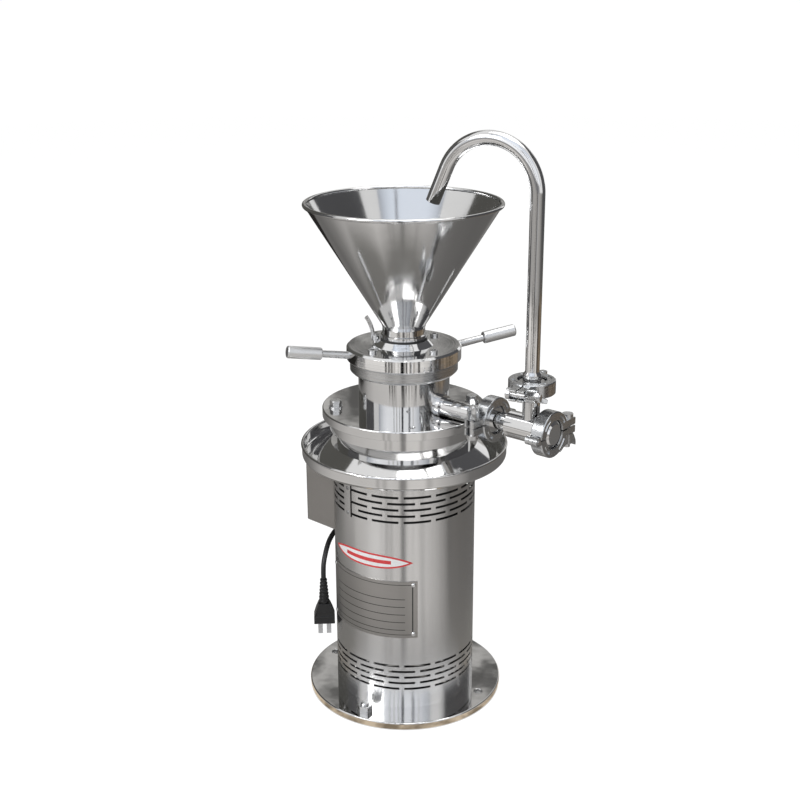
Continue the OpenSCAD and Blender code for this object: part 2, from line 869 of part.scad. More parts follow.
// Impeller that throws the ground product into the discharge pipe
module discharge_impeller() {
    hub_r = mill_shaft_r + 6;
    plate = 2.5;
    color("gainsboro")
    difference() {
        union() {
            translate([0, 0, z_impeller]) cylinder(r = hub_r, h = impeller_h);
            translate([0, 0, z_rotor - plate]) cylinder(d = impeller_d, h = plate);
            around(6) translate([hub_r - 2, -1.25, z_impeller])
                cube([impeller_d / 2 - hub_r, 2.5, impeller_h - plate / 2]);
        }
        translate([0, 0, z_impeller - cut]) cylinder(r = mill_shaft_r + run_gap, h = impeller_h + 2 * cut);
    }
}

// Grooves along a cone, deep at the feed end
module cone_grooves(r_low, r_top, low, high) {
    lean = atan2(r_low - r_top, high - low);
    around(groove_count)
        translate([r_low, 0, low]) rotate([0, -lean, 0])
            translate([-groove_depth, -groove_w / 2, (high - low) * 0.25])
                cube([2 * groove_depth, groove_w, high - low]);
}

module grinding_rotor() {
    color("silver")
    difference() {
        translate([0, 0, z_rotor]) cylinder(d1 = rotor_low_d, d2 = rotor_top_d, h = rotor_h);
        cone_grooves(rotor_low_d / 2, rotor_top_d / 2, z_rotor, z_rotor_top);
        translate([0, 0, z_rotor - cut]) cylinder(r = mill_shaft_r + run_gap, h = rotor_h - 1);
        translate([0, 0, z_rotor]) cylinder(r = thread_r + run_gap, h = rotor_h + cut);
    }
}

module rotor_cap_nut() {
    color("silver")
    translate([0, 0, z_rotor_top])
        difference() {
            union() {
                intersection() {
                    hex_prism(2 * cap_nut_r, cap_nut_h);
                    cylinder(r1 = cap_nut_r * 1.6, r2 = cap_nut_r * 0.7, h = cap_nut_h);
                }
                cylinder(r = cap_nut_r + 1, h = 2);
            }
            translate([0, 0, -cut]) cylinder(r = thread_r + run_gap, h = cap_nut_h - 2.5 + cut);
        }
}

// Grinding stator: slides in the body's bore, cone matched to the rotor
module grinding_stator() {
    slope = (rotor_low_d - rotor_top_d) / 2 / rotor_h;
    r_low = rotor_low_d / 2 - slope * (z_stator_low - z_rotor) + grind_gap;
    r_top = rotor_top_d / 2 + grind_gap;
    color("darkgray")
    difference() {
        translate([0, 0, z_stator_low]) cylinder(r = stator_r, h = z_stator_top - z_stator_low);
        translate([0, 0, z_stator_low - cut])
            cylinder(r1 = r_low + slope * cut, r2 = r_top - slope * cut,
                     h = z_rotor_top - z_stator_low + 2 * cut);
        translate([0, 0, z_rotor_top - cut]) cylinder(r = throat_d / 2, h = z_stator_top);
        cone_grooves(r_low, r_top, z_stator_low, z_rotor_top);
    }
}

// Adjusting dial: sleeve over the stator, rim, conical hub, screw holes and handle sockets
module adjusting_dial() {
    r = dial_d / 2;
    color("gainsboro")
    difference() {
        rotate_extrude($fn = 128)
            polygon([
                [throat_d / 2, z_sleeve], [sleeve_r, z_sleeve], [sleeve_r, z_dial],
                [r - dial_chamfer, z_dial], [r, z_dial + dial_chamfer],
                [r, z_dial_top - dial_chamfer], [r - dial_chamfer, z_dial_top], [hub_low_d / 2, z_dial_top],
                [hub_top_d / 2, z_hub], [throat_d / 2, z_hub]
            ]);
        around(4, dial_screw_az) translate([dial_screw_pcd / 2, 0, z_dial_top - dial_screw_len])
            cylinder(d = dial_screw_head_d * 0.6 + 2 * run_gap, h = dial_screw_len + cut);
        at_handles() translate([0, 0, -cut]) cylinder(d = rod_low_d + 2 * run_gap, h = rod_seat + 10);
        at_lever() translate([0, 0, -8]) cylinder(d = lever_stud_d + 2 * run_gap, h = 9);
        at_lever() cylinder(d = lever_hub_d + 2, h = hub_h);
    }
}

module dial_screws() {
    color("dimgray")
    around(4, dial_screw_az) translate([dial_screw_pcd / 2, 0, z_dial_top])
        difference() {
            union() {
                translate([0, 0, 1 - dial_screw_len])
                    cylinder(d = dial_screw_head_d * 0.6, h = dial_screw_len);
                cylinder(d = dial_screw_head_d, h = dial_screw_h);
            }
            translate([0, 0, 1]) hex_prism(socket_d, dial_screw_h);
        }
}

// Frame of a handle: z runs outward along the rod, from the socket's floor
module at_handles() {
    around(2, handle_az)
        translate([dial_d / 2 - rod_seat, 0, rod_z])
            rotate([0, 90 - handle_tilt, 0]) children();
}
handle_len = (handle_reach - dial_d / 2 + rod_seat) / cos(handle_tilt);

module handle_rods() {
    color("silver")
    at_handles() cylinder(d1 = rod_low_d, d2 = rod_top_d, h = handle_len - grip_len / 2);
}

module handle_grips() {
    color("gainsboro")
    at_handles()
        difference() {
            translate([0, 0, handle_len - grip_len])
                rotate_extrude()
                    polygon([
                        [0, 0], [grip_d / 2 - grip_chamfer, 0], [grip_d / 2, grip_chamfer],
                        [grip_d / 2, grip_len - grip_chamfer],
                        [grip_d / 2 - grip_chamfer, grip_len], [0, grip_len]
                    ]);
            cylinder(d1 = rod_low_d + 2 * run_gap, d2 = rod_top_d + 2 * run_gap,
                     h = handle_len - grip_len / 2 + run_gap);
        }
}

// Frame of the lock lever on its spot face in the hub
module at_lever() {
    rotate([0, 0, lever_az]) translate([lever_r, 0, z_dial_top + lever_seat]) children();
}

module lock_stud() {
    color("silver")
    at_lever() translate([0, 0, -7.5]) cylinder(d = lever_stud_d, h = 7.5 + near_gap + lever_hub_h + 1.5);
}

// Lock lever: hub on the stud and a curved blade that rises outward
module lock_lever() {
    color("silver")
    at_lever() translate([0, 0, near_gap])
        difference() {
            union() {
                cylinder(d = lever_hub_d, h = lever_hub_h);
                translate([lever_bend_r + lever_hub_d / 2 - lever_foot, 0, lever_foot + 1])
                    rotate([90, 0, 0]) rotate([0, 0, 180 - lever_arc])
                        rotate_extrude(angle = lever_arc)
                            translate([lever_bend_r, 0]) square([lever_t, lever_w], center = true);
            }
            translate([0, 0, -cut]) cylinder(r = lever_stud_d / 2 + near_gap, h = 2 * lever_hub_h);
        }
}

// Spun hopper: foot, neck, cone and a rolled rim
module hopper() {
    r = hopper_neck_r;
    color("gainsboro")
    rotate_extrude($fn = 128) {
        polygon([
            [r - hopper_wall, z_hopper], [hopper_foot_r, z_hopper],
            [hopper_foot_r, z_hopper + hopper_foot_h],
            [r, z_hopper + hopper_foot_h + 1], [r, z_hopper_neck - 3], [r + 1, z_hopper_neck + 1],
            [hopper_rim_r + hopper_wall / 2, z_hopper_rim], [hopper_rim_r - hopper_wall / 2, z_hopper_rim],
            [r - hopper_wall + 1, z_hopper_neck + 1.5], [r - hopper_wall, z_hopper_neck - 3]
        ]);
        translate([hopper_rim_r, z_hopper_rim]) circle(d = hopper_bead_d, $fn = 32);
    }
}

module hopper_seal() {
    color("black") ring(hopper_foot_r + 0.4, oring_r - 1, z_hub, z_hopper);
}

// Half profile of a ferrule that ends at x = 0 and joins a pipe of radius r at x = root
module ferrule(r_in) {
    rotate([0, -90, 0])
        rotate_extrude()
            polygon([
                [r_in, 0], [ferrule_r, 0], [ferrule_r, ferrule_t],
                [ferrule_root_r, ferrule_root_t], [r_in, ferrule_root_t]
            ]);
}

module discharge_pipe() {
    len = outlet_joint_r - face_gap - pipe_start;
    color("gainsboro")
    difference() {
        union() {
            on_outlet(pipe_start) rotate([0, 90, 0]) cylinder(r = pipe_r, h = len);
            difference() {
                on_outlet(body_d / 2 - 4) rotate([0, 90, 0])
                    cylinder(d = outlet_collar_d, h = outlet_collar_w + 4);
                translate([0, 0, z_flange]) cylinder(r = body_d / 2 + run_gap, h = body_h);
                translate([0, 0, z_flange - 5]) cylinder(d = flange_d, h = 5 + near_gap);
            }
            on_outlet(outlet_joint_r - face_gap) ferrule(pipe_in_r);
        }
        on_outlet(pipe_start - cut) rotate([0, 90, 0]) cylinder(r = pipe_in_r, h = len + 3 * cut);
    }
}

// Tee: neck with a ferrule, body, closed end's ferrule and the branch to the return pipe
module tee() {
    neck_end = outlet_joint_r + face_gap + tee_neck;
    end_face = riser_r + tee_end - face_gap;
    color("gainsboro")
    difference() {
        union() {
            on_outlet(outlet_joint_r + face_gap) mirror([1, 0, 0]) ferrule(pipe_in_r);
            on_outlet(outlet_joint_r + face_gap) rotate([0, 90, 0])
                cylinder(r = pipe_r, h = tee_neck + cut);
            on_outlet(neck_end) rotate([0, 90, 0]) cylinder(r1 = pipe_r, d2 = tee_d, h = tee_cone);
            on_outlet(neck_end + tee_cone) rotate([0, 90, 0])
                cylinder(d = tee_d, h = end_face - neck_end - tee_cone);
            on_outlet(end_face) ferrule(pipe_in_r);
            on_riser(z_outlet) cylinder(d = branch_d, h = branch_h - face_gap);
            on_riser(z_branch - face_gap) rotate([0, -90, 0]) ferrule(branch_d / 2 - pipe_wall);
        }
        on_outlet(outlet_joint_r) rotate([0, 90, 0])
            cylinder(r = pipe_in_r, h = riser_r - outlet_joint_r + tee_end);
        on_outlet(neck_end + tee_wall) rotate([0, 90, 0])
            cylinder(d = tee_d - 2 * tee_wall, h = end_face - neck_end - tee_wall - ferrule_root_t);
        on_riser(z_outlet) cylinder(r = branch_d / 2 - pipe_wall, h = branch_h + cut);
    }
}

module end_cap() {
    color("gainsboro")
    on_outlet(riser_r + tee_end + face_gap) rotate([0, 90, 0])
        rotate_extrude()
            polygon([
                [0, 0], [ferrule_r, 0], [ferrule_r, ferrule_t], [ferrule_root_r, ferrule_root_t],
                [ferrule_root_r - 2, ferrule_root_t + cap_dome], [0, ferrule_root_t + cap_dome]
            ]);
}

// Return pipe: ferrule and weld collar, riser, bend and the end over the hopper
module return_pipe() {
    r = return_d / 2;
    r_in = r - pipe_wall;
    color("gainsboro")
    on_riser(z_branch + face_gap)
        union() {
            rotate([0, 90, 0]) ferrule(r_in);
            rotate_extrude()
                polygon([
                    [r_in, 0], [weld_collar_r, 0], [weld_collar_r, weld_collar_h - 3], [r, weld_collar_h],
                    [r, return_rise], [r_in, return_rise]
                ]);
            translate([-return_bend_r, 0, return_rise]) rotate([90, 0, 0])
                rotate_extrude(angle = return_bend, $fn = 96)
                    translate([return_bend_r, 0]) difference() {
                        circle(r = r);
                        circle(r = r_in);
                    }
            translate([-return_bend_r, 0, return_rise]) rotate([0, -return_bend, 0])
                translate([return_bend_r, 0, 0]) ring(r + weld_lip, r_in - weld_lip, -weld_lap, return_end);
        }
}

module gasket_ring() {
    translate([0, 0, -face_gap])
        difference() {
            cylinder(r = gasket_r, h = gasket_t);
            translate([0, 0, -cut]) cylinder(r = pipe_in_r, h = gasket_t + 2 * cut);
        }
}

module gaskets() {
    color("whitesmoke") at_clamps() gasket_ring();
}

// Ring of one clamp half, on the side x > 0
module clamp_arc() {
    difference() {
        rotate_extrude()
            polygon([
                [lip_r, -clamp_w / 2], [clamp_r - 1, -clamp_w / 2], [clamp_r, 1 - clamp_w / 2],
                [clamp_r, clamp_w / 2 - 1], [clamp_r - 1, clamp_w / 2], [lip_r, clamp_w / 2],
                [lip_r, lip_half], [groove_r, groove_half], [groove_r, -groove_half], [lip_r, -lip_half]
            ]);
        translate([-clamp_d, -clamp_d, -clamp_w])
            cube([clamp_d + clamp_split / 2, 2 * clamp_d, 2 * clamp_w]);
    }
}

// Bolt ear with an open slot
module clamp_ear() {
    translate([clamp_split / 2, 0, 0]) rotate([90, 0, 90])
        linear_extrude(clamp_ear_t - clamp_split / 2)
            difference() {
                translate([-ear_out, -ear_w / 2]) square([ear_out - ear_in, ear_w]);
                translate([-clamp_bolt_r, 0]) circle(r = bolt_r + near_gap);
                translate([-ear_out - cut, -bolt_r - near_gap])
                    square([ear_out - clamp_bolt_r + cut, 2 * (bolt_r + near_gap)]);
            }
}

// Hinge knuckle with its arm, from z = low to z = high
module clamp_knuckle(low, high) {
    translate([0, 0, low])
        linear_extrude(high - low)
            difference() {
                union() {
                    translate([0, hinge_r]) circle(r = knuckle_r);
                    translate([clamp_split / 2, clamp_r - 5])
                        square([knuckle_r - clamp_split / 2, hinge_r - clamp_r + 5]);
                }
                translate([0, hinge_r]) circle(r = pin_r + run_gap);
            }
}

module clamp_upper_halves() {
    color("gray")
    at_clamps() {
        clamp_arc();
        clamp_ear();
        clamp_knuckle(-clamp_w / 2, -knuckle_half - near_gap);
        clamp_knuckle(knuckle_half + near_gap, clamp_w / 2);
    }
}
module clamp_lower_halves() {
    color("gray")
    at_clamps() mirror([1, 0, 0]) {
        clamp_arc();
        clamp_ear();
        clamp_knuckle(-knuckle_half, knuckle_half);
    }
}
module clamp_pins() {
    color("silver")
    at_clamps() translate([0, hinge_r, -clamp_w / 2 - 1]) cylinder(r = pin_r, h = clamp_w + 2);
}

// Bolt with a round head under the lower ear
module clamp_bolts() {
    color("silver")
    at_clamps() translate([0, -clamp_bolt_r, 0]) rotate([0, 90, 0]) {
        translate([0, 0, -clamp_ear_t - bolt_head_t]) cylinder(r = bolt_head_r, h = bolt_head_t);
        translate([0, 0, -clamp_ear_t]) cylinder(r = bolt_r, h = clamp_ear_t + bolt_end);
    }
}

// Wing nut on the bolt, its wings turned by turn about the bolt
module wing_nut(turn) {
    color("silver")
    translate([clamp_ear_t + near_gap, -clamp_bolt_r, 0]) rotate([0, 90, 0]) rotate([0, 0, turn])
        difference() {
            union() {
                cylinder(r1 = nut_hub_r, r2 = nut_hub_r - 1, h = wing_h * 0.55);
                for (side = [-1, 1])
                    scale([side, 1, 1]) wing();
            }
            translate([0, 0, -cut]) cylinder(r = bolt_r + run_gap, h = wing_h + 2 * cut);
        }
}

module wing() {
    translate([0, wing_t / 2, 0]) rotate([90, 0, 0])
        linear_extrude(wing_t)
            polygon([
                [nut_hub_r * 0.5, 1], [nut_hub_r, 1],
                [wing_span - 1, wing_h * 0.55], [wing_span, wing_h * 0.7],
                [wing_span, wing_h - 2], [wing_span - 2, wing_h], [wing_span - 5, wing_h - 1],
                [nut_hub_r - 1, wing_h * 0.55], [nut_hub_r * 0.5, wing_h * 0.5]
            ]);
}

module outlet_wing_nut() { at_outlet_clamp() wing_nut(130); }
module return_wing_nut() { at_return_clamp() wing_nut(60); }
module cap_wing_nut() { at_cap_clamp() wing_nut(90); }

// Frame of the junction box: x outward, z up from the box's floor
module on_box() {
    rotate([0, 0, box_az]) translate([0, 0, z_box]) children();
}

// Block with rounded upright edges, from x = from to x = to
module box_block(from, to, width, low, high) {
    r = box_corner;
    translate([0, 0, low])
        linear_extrude(high - low)
            difference() {
                translate([from, -width / 2]) square([to - from, width]);
                for (side = [-1, 1])
                    translate([to - r, side * (width / 2 - r)])
                        difference() {
                            translate([0, side > 0 ? 0 : -r]) square([r + cut, r + cut]);
                            circle(r = r);
                        }
            }
}

// Open-faced box, cut to the shell at its back
module junction_box() {
    color("gray")
    on_box()
        difference() {
            translate([box_in, -box_w / 2, 0]) cube([box_reach - box_in, box_w, box_h]);
            translate([box_in, box_wall - box_w / 2, box_wall])
                cube([box_reach, box_w - 2 * box_wall, box_h - 2 * box_wall]);
            translate([0, 0, -cut]) cylinder(r = shell_r + near_gap, h = box_h + 2 * cut);
            rotate([0, 0, -box_az]) translate([gland_pos[0], gland_pos[1], -cut])
                cylinder(r = gland_d / 2 - 2 + run_gap, h = box_wall + 2 * cut);
        }
}

module box_lid() {
    color("gray")
    on_box() box_block(box_reach, box_reach + box_corner + lid_t, box_w, 0, box_h);
}

module box_screws() {
    color("silver")
    on_box()
        for (y = [-1, 1], z = [lid_screw_inset, box_h - lid_screw_inset])
            translate([box_reach + box_corner + lid_t, y * (box_w / 2 - box_corner - lid_screw_inset), z])
                rotate([0, 90, 0]) dome_head(lid_screw_d, lid_screw_h);
}

module capacitors() {
    color("dimgray")
    on_box()
        for (side = [-1, 1])
            translate([box_reach - capacitor_d / 2 - capacitor_gap, side * capacitor_y,
                       box_wall + capacitor_lift])
                cylinder(d = capacitor_d, h = capacitor_len);
}

module cord_gland() {
    color("black")
    translate([gland_pos[0], gland_pos[1], z_box]) {
        cylinder(d = gland_d - 4, h = box_wall + 3);
        translate([0, 0, -8]) cylinder(d = gland_d, h = 8);
        translate([0, 0, -gland_len]) cylinder(d1 = cord_d + 3, d2 = gland_d, h = gland_len - 8);
    }
}

// Tube of cord_sides sides swept along a list of points
function tangent(p, i) =
    let (a = p[max(i - 1, 0)], b = p[min(i + 1, len(p) - 1)]) (b - a) / norm(b - a);
module swept_tube(p, r, side_dir) {
    n = len(p);
    points = [
        for (i = [0 : n - 1])
            let (t = tangent(p, i), u = side_dir / norm(side_dir), v = cross(t, u))
                for (k = [0 : cord_sides - 1])
                    p[i] + r * (cos(k * 360 / cord_sides) * u + sin(k * 360 / cord_sides) * v)
    ];
    walls = [
        for (i = [0 : n - 2], k = [0 : cord_sides - 1])
            let (a = i * cord_sides + k, b = i * cord_sides + (k + 1) % cord_sides)
                [a, a + cord_sides, b + cord_sides, b]
    ];
    ends = [
        [for (k = [0 : cord_sides - 1]) k],
        [for (k = [cord_sides - 1 : -1 : 0]) (n - 1) * cord_sides + k]
    ];
    polyhedron(points, concat(walls, ends));
}

// Hank's outer shape: a stadium as thick as the turns that lie beside each other
module hank_block(grow, low, high) {
    rotate([0, 0, hank_az])
        translate([hank_in - grow, 0, z_hank])
            rotate([90, 0, 90])
                linear_extrude(hank_out - hank_in + 2 * grow)
                    intersection() {
                        union() {
                            circle(r = hank_r + grow);
                            translate([0, hank_run]) circle(r = hank_r + grow);
                            translate([-hank_r - grow, 0]) square([2 * (hank_r + grow), hank_run]);
                        }
                        translate([-2 * hank_r, low]) square([4 * hank_r, high - low]);
                    }
}

module cord_hank() {
    color("black") hank_block(0, -2 * hank_r, hank_run + 2 * hank_r);
}
module cord_lead() {
    color("black") swept_tube(lead_route, cord_d / 2, [0, 1, 0]);
}
module cord_tail() {
    color("black") swept_tube(tail_route, cord_d / 2, [0.957, -0.29, 0]);
}

module cord_tie() {
    middle = hank_run / 2;
    color("black")
    difference() {
        hank_block(tie_gap + tie_t, middle - tie_h / 2, middle + tie_h / 2);
        hank_block(tie_gap, middle - tie_h, middle + tie_h);
    }
}

// Moulded plug that hangs at the cord's end, pins down
module at_plug() {
    translate([plug_pos[0], plug_pos[1], plug_top - relief_len - plug_len])
        rotate([0, 0, plug_az + 90]) children();
}

module plug_body() {
    color("black")
    at_plug() {
        translate([0, 0, plug_len]) cylinder(r1 = relief_low_r, r2 = relief_top_r, h = relief_len);
        linear_extrude(plug_len)
            difference() {
                square([plug_depth, plug_w], center = true);
                for (x = [-1, 1], y = [-1, 1])
                    translate([x * (plug_depth / 2 - plug_round), y * (plug_w / 2 - plug_round)])
                        difference() {
                            translate([x > 0 ? 0 : -plug_round - cut, y > 0 ? 0 : -plug_round - cut])
                                square(plug_round + cut);
                            circle(r = plug_round);
                        }
            }
    }
}

module plug_pins() {
    color("gold")
    at_plug()
        for (side = [-1, 1])
            translate([-pin_t / 2, side * pin_step / 2 - pin_w / 2, -pin_len])
                cube([pin_t, pin_w, pin_len]);
}

base_plate();
earth_stud();
earth_nut();
motor_shell();
seam_rivets();
nameplate();
nameplate_rivets();
drip_tray();
motor_frame();
stator_core();
end_windings();
lower_shield();
top_shield();
bearing_outer_rings();
bearing_inner_rings();
bearing_balls();
main_shaft();
rotor_core();
cooling_fan();
mill_flange();
flange_bolts();
jack_screws();
seal_seat();
seal_ring();
mill_body();
discharge_impeller();
grinding_rotor();
rotor_cap_nut();
grinding_stator();
adjusting_dial();
dial_screws();
handle_rods();
handle_grips();
lock_stud();
lock_lever();
hopper();
hopper_seal();
discharge_pipe();
tee();
end_cap();
return_pipe();
gaskets();
clamp_upper_halves();
clamp_lower_halves();
clamp_pins();
clamp_bolts();
outlet_wing_nut();
return_wing_nut();
cap_wing_nut();
junction_box();
box_lid();
box_screws();
capacitors();
cord_gland();
cord_lead();
cord_hank();
cord_tie();
cord_tail();
plug_body();
plug_pins();
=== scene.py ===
"""Looks of the colloid mill: polished and brushed stainless steel around the CAD frame. Metres."""
import math

import bpy
from mathutils import Matrix, Quaternion, Vector


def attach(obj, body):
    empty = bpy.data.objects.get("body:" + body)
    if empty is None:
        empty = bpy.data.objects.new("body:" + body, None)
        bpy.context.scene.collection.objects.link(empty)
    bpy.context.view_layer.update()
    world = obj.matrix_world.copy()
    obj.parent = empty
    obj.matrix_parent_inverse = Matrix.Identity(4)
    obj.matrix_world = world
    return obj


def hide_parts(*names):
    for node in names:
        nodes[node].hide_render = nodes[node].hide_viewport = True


MM = 0.001

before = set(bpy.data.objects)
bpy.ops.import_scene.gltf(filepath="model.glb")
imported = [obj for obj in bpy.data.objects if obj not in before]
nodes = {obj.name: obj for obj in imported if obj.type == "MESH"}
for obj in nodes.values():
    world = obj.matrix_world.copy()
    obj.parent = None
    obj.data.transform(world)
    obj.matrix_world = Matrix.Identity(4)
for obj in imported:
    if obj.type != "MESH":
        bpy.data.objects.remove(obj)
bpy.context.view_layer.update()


# Camera at the photograph's place

SENSOR_WIDTH = 36
LENS = 56.8
CAMERA_SPOT = (0.6996, -1.2989, 0.8926)
CAMERA_HEADING = (-0.4772, 0.8788)
CAMERA_DOWN = math.radians(18.79)
CAMERA_ROLL = math.radians(-0.26)


def make_camera():
    data = bpy.data.cameras.new("camera")
    data.sensor_width = SENSOR_WIDTH
    data.lens = LENS
    data.clip_end = 100
    camera = bpy.data.objects.new("camera", data)
    bpy.context.scene.collection.objects.link(camera)
    level = math.cos(CAMERA_DOWN)
    ahead = Vector((CAMERA_HEADING[0] * level, CAMERA_HEADING[1] * level, -math.sin(CAMERA_DOWN)))
    turn = ahead.to_track_quat("-Z", "Y")
    camera.rotation_mode = "QUATERNION"
    camera.rotation_quaternion = turn @ Quaternion((0, 0, 1), CAMERA_ROLL)
    camera.location = CAMERA_SPOT
    bpy.context.scene.camera = camera


make_camera()


# Shader building

def feed(tree, slot, value):
    """Links a wire to a node's socket, or sets the socket to a plain value."""
    if isinstance(value, Wire):
        tree.links.new(value.socket, slot)
    else:
        slot.default_value = value


class Wire:
    """A shader socket that can be used in Python expressions."""

    def __init__(self, tree, socket):
        self.tree = tree
        self.socket = socket

    def maths(self, operation, *values):
        node = self.tree.nodes.new("ShaderNodeMath")
        node.operation = operation
        for slot, value in zip(node.inputs, values):
            feed(self.tree, slot, value)
        return Wire(self.tree, node.outputs[0])

    def __add__(self, other):
        return self.maths("ADD", self, other)

    def __radd__(self, other):
        return self.maths("ADD", other, self)

    def __sub__(self, other):
        return self.maths("SUBTRACT", self, other)

    def __rsub__(self, other):
        return self.maths("SUBTRACT", other, self)

    def __mul__(self, other):
        return self.maths("MULTIPLY", self, other)

    def __rmul__(self, other):
        return self.maths("MULTIPLY", other, self)

    def __truediv__(self, other):
        return self.maths("DIVIDE", self, other)

    def __gt__(self, other):
        return self.maths("GREATER_THAN", self, other)

    def __lt__(self, other):
        return self.maths("LESS_THAN", self, other)

    def __abs__(self):
        return self.maths("ABSOLUTE", self)


class Graph:
    """A node tree, with one method that adds any node."""

    def __init__(self, tree):
        self.tree = tree

    def add(self, kind, settings=None, values=None, out=0):
        """The new node's output as a wire, or a list of wires where out is a tuple."""
        node = self.tree.nodes.new(kind)
        for name, value in (settings or {}).items():
            if name == "stops":
                ramp = node.color_ramp
                for i, (place, colour) in enumerate(value):
                    stop = ramp.elements[i] if i < 2 else ramp.elements.new(place)
                    stop.position = place
                    stop.color = colour
            else:
                setattr(node, name, value)
        for name, value in (values or {}).items():
            feed(self.tree, node.inputs[name], value)
        if isinstance(out, tuple):
            return [Wire(self.tree, node.outputs[each]) for each in out]
        return Wire(self.tree, node.outputs[out])


class Finish(Graph):
    """A material with one Principled shader."""

    def __init__(self, name, **sockets):
        self.material = bpy.data.materials.new(name)
        self.material.use_nodes = True
        super().__init__(self.material.node_tree)
        self.shader = self.tree.nodes["Principled BSDF"]
        self.set(**sockets)

    def set(self, **sockets):
        for name, value in sockets.items():
            feed(self.tree, self.shader.inputs[name.replace("_", " ").title()], value)

    def surface(self, shader):
        """Puts another shader in the Principled one's place."""
        self.tree.links.new(shader.socket, self.tree.nodes["Material Output"].inputs["Surface"])

    def place(self):
        return self.add("ShaderNodeTexCoord", out=3)

    def split(self, vector):
        return self.add("ShaderNodeSeparateXYZ", values={0: vector}, out=(0, 1, 2))

    def join(self, x, y, z):
        return self.add("ShaderNodeCombineXYZ", values={0: x, 1: y, 2: z})

    def length(self, vector):
        return self.add("ShaderNodeVectorMath", {"operation": "LENGTH"}, {0: vector}, out=1)

    def noise(self, vector, scale, detail=3, rough=0.55):
        values = {"Vector": vector, "Scale": scale, "Detail": detail, "Roughness": rough}
        return self.add("ShaderNodeTexNoise", values=values)

    def map(self, value, low, high, to_low=0, to_high=1):
        values = {0: value, 1: low, 2: high, 3: to_low, 4: to_high}
        return self.add("ShaderNodeMapRange", values=values)

    def spread(self, noise, to_low=0, to_high=1):
        """Noise, which lies mostly between 0.3 and 0.7, drawn out over a range."""
        return self.map(noise, 0.3, 0.7, to_low, to_high)

    def mix(self, amount, first, second):
        values = {"Factor": amount, 6: first, 7: second}
        return self.add("ShaderNodeMix", {"data_type": "RGBA"}, values, out=2)

    def bump(self, height, strength, distance):
        values = {"Height": height, "Strength": strength, "Distance": distance}
        return self.add("ShaderNodeBump", values=values)


def grey(level, tint=0.0):
    return (level * (1 + tint), level, level * (1 - tint), 1)


def azimuth_of(x, y):
    return y.maths("ARCTAN2", y, x)


def round_place(finish, along=1.0, around=1.0):
    """Object coordinates rolled out round the mill's axis: angle, height, radius."""
    x, y, z = finish.split(finish.place())
    radius = finish.length(finish.join(x, y, 0.0))
    return finish.join(azimuth_of(x, y) * around, z * along, radius * along)


# Finishes

# Heights between which the painted highlight at the shell's foot fades out, and the underside of the mill
# body's collar
FOOT_HIGHLIGHT_END = (0.045, 0.070)
COLLAR_LOW = 0.4302

# Blank nameplate: its middle and edges, half angle and margin of its etched frame, its ruled lines
PLATE_AZ = math.radians(-95.5)
PLATE_LOW = 0.1095
PLATE_HIGH = 0.1865
FRAME_OUTSIDE = (math.radians(40.5), 0.0040)
FRAME_INSIDE = (math.radians(39.5), 0.0048)
RULE_HALF = math.radians(34)
RULE_LOW = 0.009
RULE_HIGH = 0.056
RULE_PITCH = 0.0105
RULE_SHARE = 0.09


def polished_steel(name, level=0.70, rough=0.07, tint=0.004):
    f = Finish(name, metallic=1.0)
    cloud = f.noise(f.place(), 14, 4)
    fine = f.noise(f.place(), 160, 2)
    f.set(base_color=f.mix(f.spread(cloud), grey(level * 0.95, tint), grey(level, tint)))
    f.set(roughness=f.spread(cloud, rough * 0.75, rough * 1.35) + fine * 0.02)
    f.set(normal=f.bump(f.noise(f.place(), 22, 2), 0.06, 0.002))
    return f.material


def turned_steel(name, level=0.66, rough=0.24, pitch=900):
    """Lathe-turned finish: fine rings round the axis."""
    f = Finish(name, metallic=1.0, anisotropic=0.6, anisotropic_rotation=0.25)
    rings = f.noise(round_place(f, pitch, 0.6), 1.0, 2, 0.7)
    f.set(base_color=f.mix(rings, grey(level * 0.86), grey(level)))
    f.set(roughness=f.spread(rings, rough * 0.8, rough * 1.25))
    f.set(normal=f.bump(rings, 0.12, 0.0004))
    return f.material


def brushed_shell(name, joint=None):
    """Rolled sheet with hair lines that run round the shell, painted paler at its foot as a painted
    highlight. Past the given azimuth it is painted near-black: a painted shadow along the seam lap's edge.
    """
    f = Finish(name, metallic=1.0, anisotropic=1.0, anisotropic_rotation=0.25)
    hair = f.noise(round_place(f, 2600, 1.4), 1.0, 3, 0.7)
    patch = f.noise(round_place(f, 12, 1.2), 1.0, 3)
    x, y, z = f.split(f.place())
    # Painted highlight: the lowest band of the shell is painted paler, in place of the bright reflection at
    # its foot
    foot_highlight = f.map(z, *FOOT_HIGHLIGHT_END, 1, 0)
    sheet = f.mix(f.map(hair, 0.25, 0.75), grey(0.635, 0.008), grey(0.67, 0.006))
    colour = f.mix(foot_highlight, sheet, grey(0.76))
    # Painted shadow: near-black past the given azimuth, for the shade along the edge of the seam's lap
    if joint is not None:
        colour = f.mix(azimuth_of(x, y) > joint, colour, grey(0.03, 0.1))
    f.set(base_color=colour)
    f.set(roughness=f.map(hair, 0.25, 0.75, 0.20, 0.23) + f.spread(patch, -0.015, 0.02))
    f.set(normal=f.bump(hair, 0.03, 0.0002))
    return f.material


def mill_body_steel(name):
    """Polished casing under a matte turned collar."""
    f = Finish(name, metallic=1.0, anisotropic=0.4, anisotropic_rotation=0.25)
    x, y, z = f.split(f.place())
    rings = f.noise(round_place(f, 1100, 0.5), 1.0, 2, 0.7)
    cloud = f.noise(f.place(), 14, 4)
    collar = z > COLLAR_LOW
    polished = f.mix(f.spread(cloud), grey(0.66), grey(0.70))
    turned = f.mix(rings, grey(0.50), grey(0.60))
    f.set(base_color=f.mix(collar, polished, turned))
    f.set(roughness=f.spread(cloud, 0.06, 0.10) + collar * f.spread(rings, 0.16, 0.26))
    f.set(normal=f.bump(rings * collar, 0.12, 0.0004))
    return f.material


